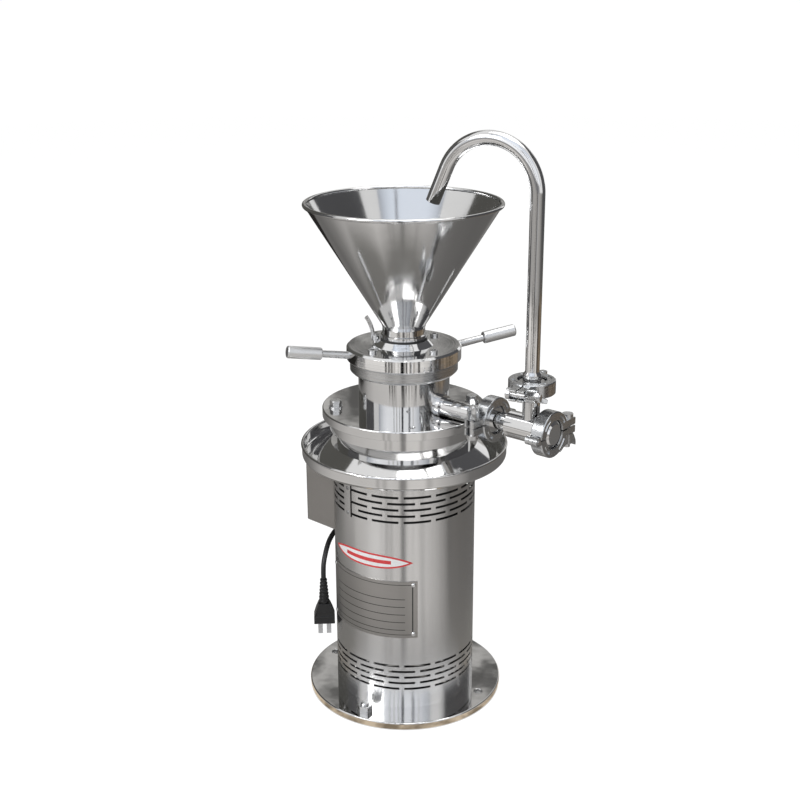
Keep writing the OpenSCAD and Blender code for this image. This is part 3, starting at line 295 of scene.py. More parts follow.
def bright_fastener(name, level=0.68, rough=0.30):
    f = Finish(name, metallic=1.0)
    wear = f.noise(f.place(), 240, 4)
    f.set(base_color=f.mix(wear, grey(level * 0.78), grey(level)))
    f.set(roughness=f.spread(wear, rough * 0.7, rough * 1.4))
    f.set(normal=f.bump(wear, 0.08, 0.0005))
    return f.material


def cast_steel(name, level=0.62):
    f = Finish(name, metallic=1.0)
    grain = f.noise(f.place(), 520, 4, 0.6)
    cloud = f.noise(f.place(), 60, 3)
    f.set(base_color=f.mix(cloud, grey(level * 0.72, -0.02), grey(level, -0.01)))
    f.set(roughness=f.spread(grain, 0.14, 0.28))
    f.set(normal=f.bump(grain, 0.10, 0.0006))
    return f.material


def grip_metal(name):
    f = Finish(name, metallic=1.0)
    grain = f.noise(f.place(), 700, 3)
    f.set(base_color=f.mix(grain, grey(0.62), grey(0.78)))
    f.set(roughness=f.spread(grain, 0.30, 0.46))
    f.set(normal=f.bump(grain, 0.12, 0.0005))
    return f.material


def dark_iron(name, level=0.05, rough=0.6):
    f = Finish(name, metallic=0.3)
    grain = f.noise(f.place(), 300, 4)
    f.set(base_color=f.mix(grain, grey(level * 0.6), grey(level)))
    f.set(roughness=f.spread(grain, rough * 0.85, rough * 1.15))
    f.set(normal=f.bump(grain, 0.2, 0.001))
    return f.material


def moulded(name, colour, rough=0.5):
    f = Finish(name, metallic=0.0)
    grain = f.noise(f.place(), 900, 2)
    cloud = f.noise(f.place(), 40, 3)
    dark = tuple(c * 0.8 for c in colour[:3]) + (1,)
    f.set(base_color=f.mix(cloud, dark, colour))
    f.set(roughness=f.spread(cloud, rough * 0.9, rough * 1.1))
    f.set(normal=f.bump(grain, 0.08, 0.0004))
    return f.material


def box_paint(name):
    f = Finish(name, metallic=0.75)
    grain = f.noise(f.place(), 500, 3)
    cloud = f.noise(f.place(), 16, 3)
    f.set(base_color=f.mix(cloud, grey(0.23, 0.05), grey(0.29, 0.05)))
    f.set(roughness=f.spread(grain, 0.34, 0.44))
    f.set(normal=f.bump(grain, 0.10, 0.0004))
    return f.material


def plate_sheet(name):
    """Blank nameplate: satin sheet with an etched frame and plain ruled lines."""
    f = Finish(name, metallic=0.85)
    x, y, z = f.split(f.place())
    side = abs(azimuth_of(x, y) - PLATE_AZ)
    grain = f.noise(round_place(f, 900, 2.0), 1.0, 3, 0.7)

    def panel(half, margin):
        return (side < half) * (z > PLATE_LOW + margin) * (z < PLATE_HIGH - margin)

    frame_line = panel(*FRAME_OUTSIDE) - panel(*FRAME_INSIDE)
    rows = (z - PLATE_LOW) / RULE_PITCH
    rule = (rows.maths("FRACT", rows) < RULE_SHARE) * (side < RULE_HALF)
    rule = rule * (z < PLATE_LOW + RULE_HIGH) * (z > PLATE_LOW + RULE_LOW)
    ink = frame_line.maths("MAXIMUM", frame_line, rule)
    sheet = f.mix(grain, grey(0.30, 0.04), grey(0.35, 0.04))
    f.set(base_color=f.mix(ink, sheet, grey(0.07)))
    f.set(roughness=f.spread(grain, 0.30, 0.42))
    f.set(normal=f.bump(ink, 0.15, 0.0004))
    return f.material


BLACK_PLASTIC = (0.012, 0.012, 0.013, 1)
FINISHES = {
    polished_steel("polished_steel"): "drip_tray top_shield discharge_pipe tee end_cap return_pipe",
    polished_steel("mirror_steel", 0.70, 0.03): "base_plate mill_flange",
    polished_steel("hopper_steel", 0.63, 0.10): "hopper",
    mill_body_steel("mill_body_steel"): "mill_body",
    turned_steel("dial_steel", 0.80, 0.035): "adjusting_dial",
    brushed_shell("brushed_shell"): "motor_shell",
    turned_steel("machined_steel"): (
        "main_shaft discharge_impeller grinding_rotor grinding_stator"
        " bearing_outer_rings bearing_inner_rings"
    ),
    bright_fastener("fastener_steel"): (
        "earth_stud earth_nut nameplate_rivets flange_bolts dial_screws clamp_pins clamp_bolts"
        " outlet_wing_nut return_wing_nut cap_wing_nut box_screws rotor_cap_nut bearing_balls lock_stud"
        " lock_lever handle_rods jack_screws"
    ),
    bright_fastener("dull_rivet", 0.36, 0.50): "seam_rivets",
    cast_steel("cast_clamp"): "clamp_upper_halves clamp_lower_halves",
    grip_metal("grip_metal"): "handle_grips",
    dark_iron("motor_iron"): "motor_frame stator_core lower_shield rotor_core",
    moulded("winding_varnish", (0.30, 0.12, 0.05, 1), 0.3): "end_windings",
    moulded("fan_plastic", (0.04, 0.04, 0.045, 1)): "cooling_fan capacitors",
    moulded("seal_carbon", (0.05, 0.05, 0.05, 1), 0.35): "seal_seat seal_ring",
    moulded("seal_rubber", (0.02, 0.02, 0.02, 1), 0.6): "hopper_seal cord_gland cord_tie",
    moulded("gasket_white", (0.75, 0.75, 0.72, 1), 0.55): "gaskets",
    box_paint("box_paint"): "junction_box box_lid",
    plate_sheet("nameplate_sheet"): "nameplate",
    moulded("plug_plastic", BLACK_PLASTIC, 0.38): "plug_body cord_lead cord_hank cord_tail",
    bright_fastener("pin_plating", 0.7): "plug_pins",
}
for material, names in FINISHES.items():
    for name in names.split():
        mesh = nodes[name].data
        mesh.materials.clear()
        mesh.materials.append(material)


# Modelling steps that several pieces use

def select_faces(piece, wanted):
    """In edit mode: selects the faces for which wanted(centre, normal) is true."""
    bpy.ops.mesh.select_all(action="DESELECT")
    bpy.ops.object.mode_set(mode="OBJECT")
    for face in piece.data.polygons:
        face.select = wanted(face.center, face.normal)
    bpy.ops.object.mode_set(mode="EDIT")


def bevel_edges(piece, width, segments, sharp=32):
    bevel = piece.modifiers.new("edges", "BEVEL")
    bevel.width = width
    bevel.segments = segments
    bevel.limit_method = "ANGLE"
    bevel.angle_limit = math.radians(sharp)
    bpy.ops.object.modifier_apply(modifier="edges")


def smooth_flats(piece):
    """Smooth shading that keeps the large faces flat."""
    bpy.ops.object.shade_smooth_by_angle(angle=math.radians(60))
    flats = piece.modifiers.new("flats", "WEIGHTED_NORMAL")
    flats.mode = "FACE_AREA"
    flats.weight = 100
    flats.keep_sharp = True
    bpy.ops.object.modifier_apply(modifier="flats")


def settle():
    """Puts the selected object's place, turn and scale into its mesh."""
    bpy.ops.object.transform_apply(location=True, rotation=True, scale=True)


# Mains cord: out of the gland, folded to a hank behind the shell, then over to the plug

SHELL_R = 0.089
CORD_D = 6.5 * MM
HANK_AZ = math.radians(150)
HANK_TURNS = 3
HANK_RUN = 0.110
HANK_FOLD = 0.0245
HANK_LOW = 0.03805
HANK_OUT = 0.09425
HANK_LAYER = 0.0066
HANK_STEP = 0.006
PLUG_AZ = 212


def off_shell(distance, azimuth, height):
    """A point given in mm from the shell, degrees round it and mm up."""
    a = math.radians(azimuth)
    reach = SHELL_R + distance * MM
    return (reach * math.cos(a), reach * math.sin(a), height * MM)


LEAD = [off_shell(7.9, 135.4, 186.2), off_shell(7.9, 135.4, 165)]
TAIL = [
    off_shell(*turn) for turn in (
        (30, 162, 150), (27, 164.5, 171), (19, 172.5, 188), (12, 184.5, 194), (12, 197.5, 188),
        (15, 209, 172), (16, PLUG_AZ, 156), (16, PLUG_AZ, 150),
    )
]


def hank_points():
    """Points of the turns, from the left run's top down, round and up the right run."""
    half_turn = HANK_RUN + math.pi * HANK_FOLD
    total = HANK_TURNS * 2 * half_turn + 2 * HANK_RUN + math.pi * HANK_FOLD
    c, n = math.cos(HANK_AZ), math.sin(HANK_AZ)
    points = []
    for i in range(int(total / HANK_STEP) + 1):
        s = i * HANK_STEP
        turn = s % (2 * half_turn)
        out = HANK_OUT + HANK_LAYER * s / (2 * half_turn)
        if turn < HANK_RUN:
            side, up = -HANK_FOLD, HANK_LOW + HANK_RUN - turn
        elif turn < half_turn:
            a = (turn - HANK_RUN) / HANK_FOLD
            side, up = -HANK_FOLD * math.cos(a), HANK_LOW - HANK_FOLD * math.sin(a)
        elif turn < half_turn + HANK_RUN:
            side, up = HANK_FOLD, HANK_LOW + turn - half_turn
        else:
            a = (turn - half_turn - HANK_RUN) / HANK_FOLD
            side, up = HANK_FOLD * math.cos(a), HANK_LOW + HANK_RUN + HANK_FOLD * math.sin(a)
        points.append((out * c - side * n, out * n + side * c, up))
    return points


def smooth_route(points, spacing=0.004):
    """Catmull-Rom curve through the points."""
    p = [Vector(q) for q in points]
    p = [p[0] * 2 - p[1]] + p + [p[-1] * 2 - p[-2]]
    route = []
    for a, b, c, d in zip(p, p[1:], p[2:], p[3:]):
        count = max(1, round((c - b).length / spacing))
        for i in range(count):
            t = i / count
            route.append(0.5 * (2 * b + (c - a) * t + (2 * a - 5 * b + 4 * c - d) * t ** 2
                                + (3 * b - a - 3 * c + d) * t ** 3))
    return route + [p[-2]]


def ribbed_sleeve(low):
    """The plug's strain relief: a tapering sleeve with grooves between its ribs. It is left selected."""
    foot_r, taper, groove, ribs = 0.0072, 0.0026, 0.0009, 7
    bpy.ops.object.select_all(action="DESELECT")
    bpy.ops.mesh.primitive_circle_add(vertices=24, radius=foot_r, fill_type="NGON", location=(0, 0, low))
    settle()
    sleeve = bpy.context.object
    bpy.ops.object.mode_set(mode="EDIT")
    bpy.ops.mesh.select_all(action="SELECT")
    radius = foot_r
    for i in range(ribs):
        rib = foot_r - taper * (i + 1) / ribs
        for rise, target in ((0.0006, rib - groove), (0.0018, rib - groove), (0.0006, rib), (0.0019, rib)):
            bpy.ops.mesh.extrude_region_move(TRANSFORM_OT_translate={"value": (0, 0, rise)})
            bpy.ops.transform.resize(value=(target / radius, target / radius, 1))
            radius = target
    bpy.ops.mesh.select_all(action="SELECT")
    bpy.ops.mesh.normals_make_consistent(inside=False)
    bpy.ops.object.mode_set(mode="OBJECT")
    bevel_edges(sleeve, 0.0002, 2)
    smooth_flats(sleeve)


def plug_moulding(material):
    """Plug with hollowed grip sides and a ribbed strain relief, hanging at the cord's end."""
    wide, deep, tall, relief = 0.027, 0.019, 0.027, 0.034
    tier, sleeve_lap = 0.009, 0.001
    grip_rim, grip_depth = 0.0016, 0.0012
    bpy.ops.object.select_all(action="DESELECT")
    bpy.ops.mesh.primitive_cube_add(size=1, location=(0, 0, tall / 2), scale=(deep, wide, tall))
    settle()
    block = bpy.context.object
    bpy.ops.object.mode_set(mode="EDIT")
    bpy.ops.mesh.select_mode(type="FACE")
    select_faces(block, lambda centre, normal: normal.z > 0.9)
    bpy.ops.transform.translate(value=(0, 0, -2 * tier))
    for narrow_x, narrow_y in ((0.90, 0.80), (0.80, 0.68)):
        bpy.ops.mesh.extrude_region_move(TRANSFORM_OT_translate={"value": (0, 0, tier)})
        bpy.ops.transform.resize(value=(narrow_x, narrow_y, 1))
    select_faces(block, lambda centre, normal: abs(normal.x) > 0.8 and tier < centre.z < 2 * tier)
    bpy.ops.mesh.inset(thickness=grip_rim, use_individual=True)
    bpy.ops.mesh.extrude_region_shrink_fatten(TRANSFORM_OT_shrink_fatten={"value": -grip_depth})
    bpy.ops.object.mode_set(mode="OBJECT")
    bevel_edges(block, 0.0013, 3)
    smooth_flats(block)
    ribbed_sleeve(tall - sleeve_lap)
    block.select_set(True)
    bpy.context.view_layer.objects.active = block
    bpy.ops.object.join()
    block.name = "plug_moulding"
    x, y, z = TAIL[-1]
    block.rotation_euler = (0, 0, math.radians(PLUG_AZ + 90))
    block.location = (x, y, z - relief - tall)
    settle()
    block.data.materials.clear()
    block.data.materials.append(material)
    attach(block, "stand")
    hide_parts("plug_body")
    return block


def make_cord(material, plug):
    route = smooth_route(LEAD + hank_points() + TAIL)
    length = sum((b - a).length for a, b in zip(route, route[1:]))
    data = bpy.data.curves.new("mains_cord", "CURVE")
    data.dimensions = "3D"
    data.bevel_depth = CORD_D / 2
    data.bevel_resolution = 4
    data.use_fill_caps = True
    line = data.splines.new("POLY")
    line.points.add(len(route) - 1)
    for point, place in zip(line.points, route):
        point.co = (*place, 1)
    line.use_smooth = True
    cord = bpy.data.objects.new("mains_cord", data)
    bpy.context.scene.collection.objects.link(cord)
    data.materials.append(material)
    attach(cord, "stand")
    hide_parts("cord_lead", "cord_hank", "cord_tail")


make_cord(moulded("cord_rubber", BLACK_PLASTIC, 0.45),
          plug_moulding(moulded("plug_moulded", BLACK_PLASTIC, 0.34)))


# Turned, cast and machined pieces: the frame's solids with their edges rounded

# Outlet line: its azimuth, its height and the return clamp's, and each clamp's distance from the mill's axis
LINE_AZ = math.radians(-11.5)
LINE_Z = 0.3965
RETURN_Z = 0.4485
OUTLET_ALONG = 0.134
RETURN_ALONG = 0.188
CAP_ALONG = 0.213
UP = Vector((0, 0, 1))
ASIDE = Vector((1, 0, 0))


def on_line(along, across, height):
    """A point or direction given along the outlet line, across it and up."""
    return Matrix.Rotation(LINE_AZ, 3, "Z") @ Vector((along, across, height))


# Middle of each clamp, and the direction in which its halves part
CLAMPS = [
    (on_line(OUTLET_ALONG, 0, LINE_Z), UP),
    (on_line(RETURN_ALONG, 0, RETURN_Z), ASIDE),
    (on_line(CAP_ALONG, 0, LINE_Z), UP),
]
CLAMP_HALF_W = 0.008

# Recesses in the clamps' faces: radius of the arc and of its tube, half its angle, height of its middle
RECESS_R = 0.0216
RECESS_TUBE_R = 0.0018
RECESS_HALF = 19
RECESS_RISE = 0.0004


def clamp_recesses():
    """The casting's shallow curved recesses: four on each face of each clamp, as one cutter."""
    bpy.ops.object.select_all(action="DESELECT")
    bpy.ops.mesh.primitive_torus_add(major_segments=72, minor_segments=12,
                                     major_radius=RECESS_R, minor_radius=RECESS_TUBE_R)
    arc = bpy.context.object
    bpy.ops.object.mode_set(mode="EDIT")
    for side in (-1, 1):
        a = math.radians(45 + side * RECESS_HALF)
        bpy.ops.mesh.select_all(action="SELECT")
        bpy.ops.mesh.bisect(plane_co=(0, 0, 0), plane_no=(-side * math.sin(a), side * math.cos(a), 0),
                            use_fill=True, clear_outer=True)
    bpy.ops.object.mode_set(mode="OBJECT")
    bpy.ops.object.select_all(action="DESELECT")
    for centre, part in CLAMPS:
        axis = UP if part == ASIDE else on_line(1, 0, 0)
        turn = Matrix((part, axis.cross(part), axis)).transposed().to_4x4()
        for quarter in range(4):
            for face in (-1, 1):
                copy = bpy.data.objects.new("recess", arc.data.copy())
                bpy.context.scene.collection.objects.link(copy)
                copy.matrix_world = (Matrix.Translation(centre) @ turn
                                     @ Matrix.Translation((0, 0, face * (CLAMP_HALF_W + RECESS_RISE)))
                                     @ Matrix.Rotation(quarter * math.pi / 2, 4, "Z"))
                copy.select_set(True)
                bpy.context.view_layer.objects.active = copy
    bpy.data.objects.remove(arc)
    bpy.ops.object.join()
    settle()
    return bpy.context.object


def rounded_copy(node, name, body, width, segments=2, cutter=None):
    """A copy of a CAD node, merged, with its hard edges rounded; it takes the node's place."""
    bpy.ops.object.select_all(action="DESELECT")
    piece = bpy.data.objects.new(name, nodes[node].data.copy())
    bpy.context.scene.collection.objects.link(piece)
    piece.select_set(True)
    bpy.context.view_layer.objects.active = piece
    bpy.ops.mesh.customdata_custom_splitnormals_clear()
    bpy.ops.object.mode_set(mode="EDIT")
    bpy.ops.mesh.select_all(action="SELECT")
    bpy.ops.mesh.remove_doubles(threshold=0.000004)
    bpy.ops.mesh.dissolve_limited(angle_limit=math.radians(0.5))
    bpy.ops.object.mode_set(mode="OBJECT")
    bevel_edges(piece, width, segments)
    if cutter:
        hollow = piece.modifiers.new("recesses", "BOOLEAN")
        hollow.operation = "DIFFERENCE"
        hollow.object = cutter
        bpy.ops.object.modifier_apply(modifier="recesses")
    smooth_flats(piece)
    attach(piece, body)
    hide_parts(node)


rounded_copy("mill_flange", "flange_turned", "stand", 0.0010)
rounded_copy("adjusting_dial", "dial_turned", "dial", 0.0008)
rounded_copy("base_plate", "base_ground", "stand", 0.0006)
recesses = clamp_recesses()
rounded_copy("clamp_upper_halves", "clamp_upper_cast", "stand", 0.0011, 3, recesses)
rounded_copy("clamp_lower_halves", "clamp_lower_cast", "stand", 0.0011, 3, recesses)
bpy.data.objects.remove(recesses)
rounded_copy("flange_bolts", "flange_bolt_heads", "stand", 0.0004)
rounded_copy("earth_nut", "earth_nut_hex", "stand", 0.0004)
rounded_copy("handle_grips", "turned_grips", "dial", 0.0008, 3)
rounded_copy("box_lid", "pressed_lid", "stand", 0.0012, 3)


# Wing nuts of the clamps

# From a clamp's middle out to its bolt, and along the bolt to the nut's seat
BOLT_OUT = 0.038
NUT_SEAT = 0.0093
NUT_HUB_R = 0.0070
NUT_BORE_R = 0.00405
NUT_HUB_H = 0.01265
NUT_SIDES = 24

# Faces of the hub past this x grow the wings, in steps: out, up, and how much thinner and flatter
WING_ROOT = 0.0060
WING_STEPS = ((0.0045, 0.0036, 0.80, 0.80), (0.0040, 0.0050, 0.85, 0.72), (0.0016, 0.0030, 0.90, 0.62))

# How far the wings are turned: from the outlet line, and from straight down
OUTLET_WINGS = math.radians(130)
RETURN_WINGS = math.radians(60)


def wing_nut_blank():
    """Bored hub with two swept wings along x; its seat is at z = 0."""
    bpy.ops.object.select_all(action="DESELECT")
    bpy.ops.mesh.primitive_cylinder_add(vertices=NUT_SIDES, radius=NUT_HUB_R, depth=NUT_HUB_H,
                                        end_fill_type="NOTHING", location=(0, 0, NUT_HUB_H / 2),
                                        rotation=(0, 0, math.radians(180 / NUT_SIDES)))
    settle()
    blank = bpy.context.object
    bpy.ops.object.mode_set(mode="EDIT")
    for side in (-1, 1):
        select_faces(blank, lambda centre, normal: side * centre.x > WING_ROOT)
        for out, up, thin, flat in WING_STEPS:
            bpy.ops.mesh.extrude_region_move(TRANSFORM_OT_translate={"value": (side * out, 0, up)})
            bpy.ops.transform.resize(value=(0.5, thin, flat))
    bpy.ops.mesh.select_mode(type="VERT")
    bpy.ops.mesh.select_all(action="DESELECT")
    bpy.ops.mesh.select_non_manifold(extend=False)
    bpy.ops.mesh.extrude_edges_move(TRANSFORM_OT_translate={"value": (0, 0, 0)})
    bpy.ops.transform.resize(value=(NUT_BORE_R / NUT_HUB_R, NUT_BORE_R / NUT_HUB_R, 1))
    bpy.ops.mesh.bridge_edge_loops()
    bpy.ops.mesh.select_all(action="SELECT")
    bpy.ops.mesh.remove_doubles(threshold=0.00001)
    bpy.ops.mesh.normals_make_consistent(inside=False)
    bpy.ops.mesh.select_mode(type="FACE")
    bpy.ops.object.mode_set(mode="OBJECT")
    bevel_edges(blank, 0.0010, 3, 40)
    return blank


def make_wing_nuts(material):
    """One nut on each clamp bolt: seat, direction of the bolt, direction of the wings."""
    blank = wing_nut_blank()
    spots = {
        "outlet": (on_line(OUTLET_ALONG, -BOLT_OUT, LINE_Z + NUT_SEAT), UP,
                   on_line(math.cos(OUTLET_WINGS), math.sin(OUTLET_WINGS), 0)),
        "return": (on_line(RETURN_ALONG, 0, RETURN_Z) + Vector((NUT_SEAT, -BOLT_OUT, 0)), ASIDE,
                   Vector((0, math.sin(RETURN_WINGS), -math.cos(RETURN_WINGS)))),
        "cap": (on_line(CAP_ALONG, BOLT_OUT, LINE_Z - NUT_SEAT), -UP, on_line(0, -1, 0)),
    }
    for place, (seat, bolt, wings) in spots.items():
        bpy.ops.object.select_all(action="DESELECT")
        nut = bpy.data.objects.new(place + "_wings", blank.data.copy())
        bpy.context.scene.collection.objects.link(nut)
        turn = Matrix((wings, bolt.cross(wings), bolt)).transposed().to_4x4()
        nut.matrix_world = Matrix.Translation(seat) @ turn
        nut.select_set(True)
        bpy.context.view_layer.objects.active = nut
        settle()
        smooth_flats(nut)
        nut.data.materials.clear()
        nut.data.materials.append(material)
        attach(nut, place + "_nut")
        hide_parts(place + "_wing_nut")
    bpy.data.objects.remove(blank)


make_wing_nuts(cast_steel("wing_nut_steel", 0.70))


# Thin sheet on the shell: a blank sticker with a plain border, and the lap of the seam

SHEET_GAP = 0.00006

# The sticker's middle, half length round the shell, half height, film, and planes to half an edge
STICKER_AZ = math.radians(-93.5)
STICKER_Z = 0.2115
STICKER_HALF = math.radians(38.5)
STICKER_RISE = 0.0092
STICKER_FILM = 0.00012
STICKER_PLANES = 6
STICKER_TIP = 6.3

# The lap lies between the shortened slots
SEAM_AZ = math.radians(-112.5)
SEAM_HALF = math.radians(4.3)
# Width in angle of the painted shadow along the lap's edge
SEAM_SHADOW = math.radians(0.9)
SEAM_LOW = 0.2605
SEAM_HIGH = 0.3300
SEAM_SHEET = 0.0005


def sticker_print(name):
    """White print with a red border that follows the outline, and a red bar."""
    f = Finish(name, metallic=0.0, coat_weight=0.4)
    x, y, z = f.split(f.place())
    along = (azimuth_of(x, y) - STICKER_AZ) / STICKER_HALF
    up = abs((z - STICKER_Z) / STICKER_RISE)
    taper = abs(along * along * along)
    edge = (up + taper) > 0.76
    bar = (up < 0.26) * (along * along < 0.30)
    ink = edge.maths("MAXIMUM", edge, bar)
    wear = f.noise(f.place(), 300, 4)
    white = f.mix(wear, (0.66, 0.66, 0.67, 1), (0.80, 0.80, 0.81, 1))
    red = f.mix(wear, (0.52, 0.015, 0.02, 1), (0.66, 0.03, 0.03, 1))
    f.set(base_color=f.mix(ink, white, red), roughness=f.spread(wear, 0.26, 0.40))
    return f.material


def sheet_on_shell(name, azimuth, half, low, high, thickness, material, cuts=()):
    """Patch of thin sheet that lies on the shell, cut out of a drum by its two ends and further planes."""
    bpy.ops.object.select_all(action="DESELECT")
    bpy.ops.mesh.primitive_cylinder_add(vertices=360, radius=SHELL_R + SHEET_GAP, depth=high - low,
                                        end_fill_type="NOTHING", location=(0, 0, (low + high) / 2))
    settle()
    patch = bpy.context.object
    patch.name = name
    bpy.ops.object.mode_set(mode="EDIT")
    ends = []
    for side in (-1, 1):
        a = azimuth + side * half
        ends.append(((0, 0, 0), (-side * math.sin(a), side * math.cos(a), 0)))
    for spot, away in ends + list(cuts):
        bpy.ops.mesh.select_all(action="SELECT")
        bpy.ops.mesh.bisect(plane_co=spot, plane_no=away, clear_outer=True)
    bpy.ops.object.mode_set(mode="OBJECT")
    film = patch.modifiers.new("film", "SOLIDIFY")
    film.thickness = thickness
    film.offset = 1
    bpy.ops.object.modifier_apply(modifier="film")
    bpy.ops.object.shade_smooth_by_angle(angle=math.radians(35))
    patch.data.materials.append(material)
    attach(patch, "stand")


def make_sticker(material):
    """Lens shape: planes that follow its curved upper and lower edges."""
    reach = SHELL_R + SHEET_GAP
    cuts = []
    for side in (-1, 1):
        for k in range(-STICKER_PLANES, STICKER_PLANES + 1):
            t = k / STICKER_TIP
            a = STICKER_AZ + t * STICKER_HALF
            slope = -3 * t * abs(t) * STICKER_RISE / STICKER_HALF / reach
            rise = STICKER_RISE * (1 - abs(t) ** 3)
            spot = (reach * math.cos(a), reach * math.sin(a), STICKER_Z + side * rise)
            cuts.append((spot, (slope * math.sin(a), -slope * math.cos(a), side)))
    sheet_on_shell("blank_sticker", STICKER_AZ, STICKER_HALF, STICKER_Z - 1.1 * STICKER_RISE,
                   STICKER_Z + 1.1 * STICKER_RISE, STICKER_FILM, material, cuts)


make_sticker(sticker_print("sticker_print"))
# The lap's sheet carries a painted shadow along its edge
sheet_on_shell("seam_lap", SEAM_AZ, SEAM_HALF, SEAM_LOW, SEAM_HIGH, SEAM_SHEET,
               brushed_shell("seam_sheet", SEAM_AZ + SEAM_HALF - SEAM_SHADOW))


# Stage: pale floor, soft light, and cards that the polished steel reflects

# Degrees from the frame's x to the camera; the cards' places count to the right of it, seen from the mill
CAM_AZ = -61.7

# Share of the world's white that falls on things; the floor's glow, and the spot under the base without it
WORLD_LIGHT = 0.55
FLOOR_SIZE = 120
FLOOR_GLOW = 1.13
FLOOR_SEEN = 0.8
FLOOR_SPOT_R = 0.1245

# Tone of the ground by degrees, and the reach at which its rings give way: soil, rim, dark ring
YARD = [
    (-180, 0.20), (-135, 0.18), (-118, 0.27), (-100, 0.48), (-80, 0.62), (-45, 0.66), (-30, 0.70),
    (-27, 0.46), (-24, 0.70), (-20, 0.50), (-16, 0.72), (-7, 0.68), (-3, 0.26), (1, 0.30), (4, 0.76),
    (20, 0.78), (25, 0.52), (31, 0.68), (48, 0.50), (62, 0.36), (72, 0.20), (95, 0.17), (150, 0.15),
    (180, 0.20),
]
YARD_LIFT = 0.0005
SOIL_END = (0.137, 0.145)
RIM_END = (0.15, 0.21)
DARK_RING_FADE = 0.09

# Upright strips that streak the steel: degrees, width, tone
POLE_FAR = 1.44
POLES = [(-11, 0.030, 0.10), (-18, 0.036, 0.36), (-25, 0.030, 0.16), (22, 0.026, 0.45)]

# Low strips that the dial's rim mirrors, in the same terms
STAKE_FAR = 1.2
STAKE_LOW = 0.03
STAKE_HIGH = 0.28
STAKES = [
    (-135, 1.88, 0.02), (-35, 0.07, 0.05), (-29, 0.06, 0.02), (-23, 0.05, 0.12), (-3.5, 0.13, 0.004),
    (5, 0.06, 0.03), (12, 0.05, 0.12), (19, 0.05, 0.20), (29, 0.08, 0.03),
]


def seen_rays(graph):
    """1 for rays from the camera, a mirror or glass, 0 for the light that falls on things."""
    kinds = ("Is Camera Ray", "Is Glossy Ray", "Is Transmission Ray")
    camera, mirror, glass = graph.add("ShaderNodeLightPath", out=kinds)
    seen = camera.maths("MAXIMUM", camera, mirror)
    return seen.maths("MAXIMUM", seen, glass)


def make_world():
    world = bpy.data.worlds.new("studio")
    bpy.context.scene.world = world
    world.use_nodes = True
    tree = world.node_tree
    back = tree.nodes["Background"]
    back.inputs["Color"].default_value = (1, 1, 1, 1)
    strength = seen_rays(Graph(tree)) * (1 - WORLD_LIGHT) + WORLD_LIGHT
    feed(tree, back.inputs["Strength"], strength)


def make_floor():
    bpy.ops.object.select_all(action="DESELECT")
    bpy.ops.mesh.primitive_plane_add(size=FLOOR_SIZE)
    floor = bpy.context.object
    floor.name = "floor"
    f = Finish("floor_white", base_color=(0.9, 0.9, 0.9, 1), roughness=0.9)
    plain = Wire(f.tree, f.shader.outputs[0])
    glow = f.add("ShaderNodeEmission", values={"Strength": FLOOR_GLOW})
    share = seen_rays(f) * FLOOR_SEEN * (f.length(f.place()) > FLOOR_SPOT_R)
    f.surface(f.add("ShaderNodeMixShader", values={"Fac": share, 1: plain, 2: glow}))
    floor.data.materials.append(f.material)


def soft_light(name, place, aim, size, power):
    data = bpy.data.lights.new(name, "AREA")
    data.shape = "RECTANGLE"
    data.size, data.size_y = size
    data.energy = power
    lamp = bpy.data.objects.new(name, data)
    bpy.context.scene.collection.objects.link(lamp)
    lamp.location = place
    lamp.rotation_mode = "QUATERNION"
    lamp.rotation_quaternion = (Vector(aim) - Vector(place)).to_track_quat("-Z", "Y")


def show_to_steel_only(board, finish, colour):
    """A card with its own tone: polished steel mirrors it, the camera and the light pass through."""
    finish.surface(finish.add("ShaderNodeEmission", values={"Color": colour}))
    board.data.materials.append(finish.material)
    board.visible_camera = False
    board.visible_shadow = False
    board.visible_diffuse = False


def wall_card(name, azimuth, distance, width, low, high, colour, blotch=0, top=None):
    """Upright card; azimuth in degrees to the right of the camera, seen from the mill.

    A blotch size breaks its tone up; a top colour makes it fade upwards and towards its sides.
    """
    a = math.radians(CAM_AZ + azimuth)
    bpy.ops.object.select_all(action="DESELECT")
    bpy.ops.mesh.primitive_plane_add(size=1)
    board = bpy.context.object
    out = Vector((math.cos(a), math.sin(a), 0))
    turn = out.to_track_quat("Z", "Y").to_matrix().to_4x4()
    board.matrix_world = (Matrix.Translation(out * distance + Vector((0, 0, (low + high) / 2))) @ turn
                          @ Matrix.Diagonal((width, high - low, 1, 1)))
    board.name = name
    f = Finish(name)
    tone = (*colour, 1)
    if blotch:
        spots = f.map(f.noise(f.place(), blotch, 4, 0.6), 0.42, 0.58)
        dark = tuple(c * 0.4 for c in colour)
        pale = tuple(c * 1.9 for c in colour)
        tone = f.mix(spots, (*dark, 1), (*pale, 1))
    elif top:
        x, y, z = f.split(f.place())
        sky = f.mix(f.map(y, -0.38, 0.0), tone, (*top, 1))
        dim = tuple(c * 0.45 for c in top)
        tone = f.mix(f.map(x * x, 0.04, 0.25), sky, (*dim, 1))
    show_to_steel_only(board, f, tone)


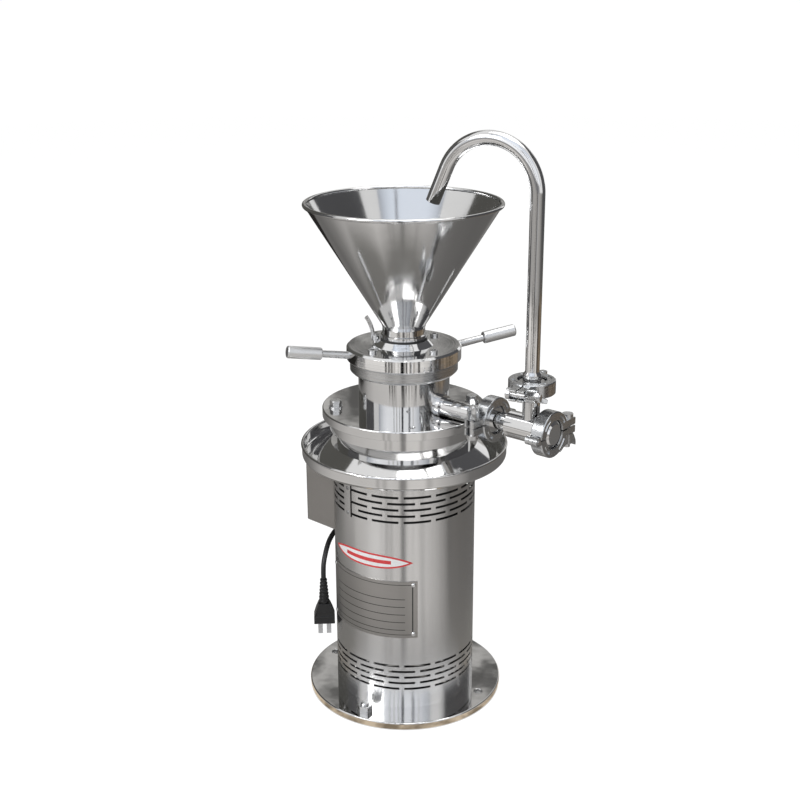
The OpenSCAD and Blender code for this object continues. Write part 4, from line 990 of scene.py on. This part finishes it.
def yard_card(inner, outer):
    """Ground that the steel mirrors: pale ahead, darker to the sides, and streaked.

    It is ringed by soil, a rim and a dark ring towards the mill.
    """
    bpy.ops.object.select_all(action="DESELECT")
    bpy.ops.mesh.primitive_circle_add(vertices=96, radius=outer, fill_type="NGON",
                                      location=(0, 0, YARD_LIFT))
    board = bpy.context.object
    board.name = "yard"
    bpy.ops.object.mode_set(mode="EDIT")
    bpy.ops.mesh.select_all(action="SELECT")
    bpy.ops.mesh.inset(thickness=outer - inner)
    bpy.ops.mesh.delete(type="FACE")
    bpy.ops.object.mode_set(mode="OBJECT")
    f = Finish("yard")
    x, y, z = f.split(f.place())
    share = (azimuth_of(x, y) - math.radians(CAM_AZ)) / math.tau + 0.5
    turns = share.maths("FRACT", share)
    stops = [((azimuth + 180) / 360, grey(tone, 0.03)) for azimuth, tone in YARD]
    around = f.add("ShaderNodeValToRGB", {"stops": stops}, {"Fac": turns})
    reach = f.length(f.place())
    aside = f.map(abs(turns - 0.5), 0.15, 0.24)
    rim = f.mix(aside, (0.96, 0.98, 1.02, 1), (0.26, 0.25, 0.235, 1))
    crumbs = f.map(f.noise(f.place(), 30, 4), 0.4, 0.6)
    soil = f.mix(crumbs, (0.30, 0.24, 0.17, 1), (0.80, 0.66, 0.49, 1))
    rim = f.mix(f.map(reach, *SOIL_END), soil, rim)
    close = f.mix(f.map(reach, *RIM_END), rim, (0.245, 0.238, 0.225, 1))
    edge = f.map(turns, 0.24, 0.36, 0.46, 0.25)
    # Brighter close by and again past 1.4 m, dimmer beyond 2 m
    gain = f.map(reach, 0.36, 0.75, 1.16, 1)
    gain = gain + f.map(reach, 1.42, 1.50, 0, 0.45) - f.map(reach, 1.95, 2.15, 0, 0.75)
    lit = f.add("ShaderNodeVectorMath", {"operation": "SCALE"}, {0: around, "Scale": gain})
    show_to_steel_only(board, f, f.mix(f.map(reach, edge, edge + DARK_RING_FADE), close, lit))


make_world()
make_floor()
soft_light("key", (-0.9, -1.9, 1.9), (0, 0, 0.4), (1.0, 1.0), 30)
soft_light("top", (0.2, 0.3, 2.6), (0, 0, 0.4), (1.4, 1.4), 22)
yard_card(0.130, 7.0)
wall_card("right_wall", 105, 3.0, 4.6, 0.0, 4.5, (0.10, 0.10, 0.105))
wall_card("left_wall", -140, 3.0, 3.4, 0.0, 4.0, (0.11, 0.108, 0.10))
wall_card("back_wall", 178, 3.6, 3.4, 0.0, 2.6, (0.31, 0.305, 0.295), 13)
wall_card("dark_post", -4, 1.42, 0.11, 0.0, 1.75, (0.05, 0.05, 0.06))
for azimuth, width, tone in POLES:
    wall_card("pole", azimuth, POLE_FAR, width, 0.0, 1.6, (tone * 1.08, tone, tone * 0.9))
for azimuth, width, tone in STAKES:
    wall_card("stake", azimuth, STAKE_FAR, width, STAKE_LOW, STAKE_HIGH, grey(tone, 0.08)[:3])
wall_card("dark_fence", 65, STAKE_FAR, 0.47, STAKE_LOW, STAKE_HIGH, (0.09, 0.072, 0.056))
wall_card("tan_fence", 105, STAKE_FAR, 1.36, STAKE_LOW, STAKE_HIGH, (0.20, 0.158, 0.115), 9)
wall_card("left_stack", -95, 1.5, 0.75, 0.0, 1.6, (0.12, 0.12, 0.125))
wall_card("post", 13, 1.45, 0.12, 0.0, 3.0, (0.36, 0.37, 0.40))
wall_card("sky_front", -12, 6.0, 17.0, 1.15, 17.0, (1.32, 1.35, 1.40), top=(1.04, 1.12, 1.25))
wall_card("low_front", -20, 5.0, 9.0, 0.0, 0.8, (0.30, 0.30, 0.31))

scene = bpy.context.scene
scene.view_settings.view_transform = "Standard"
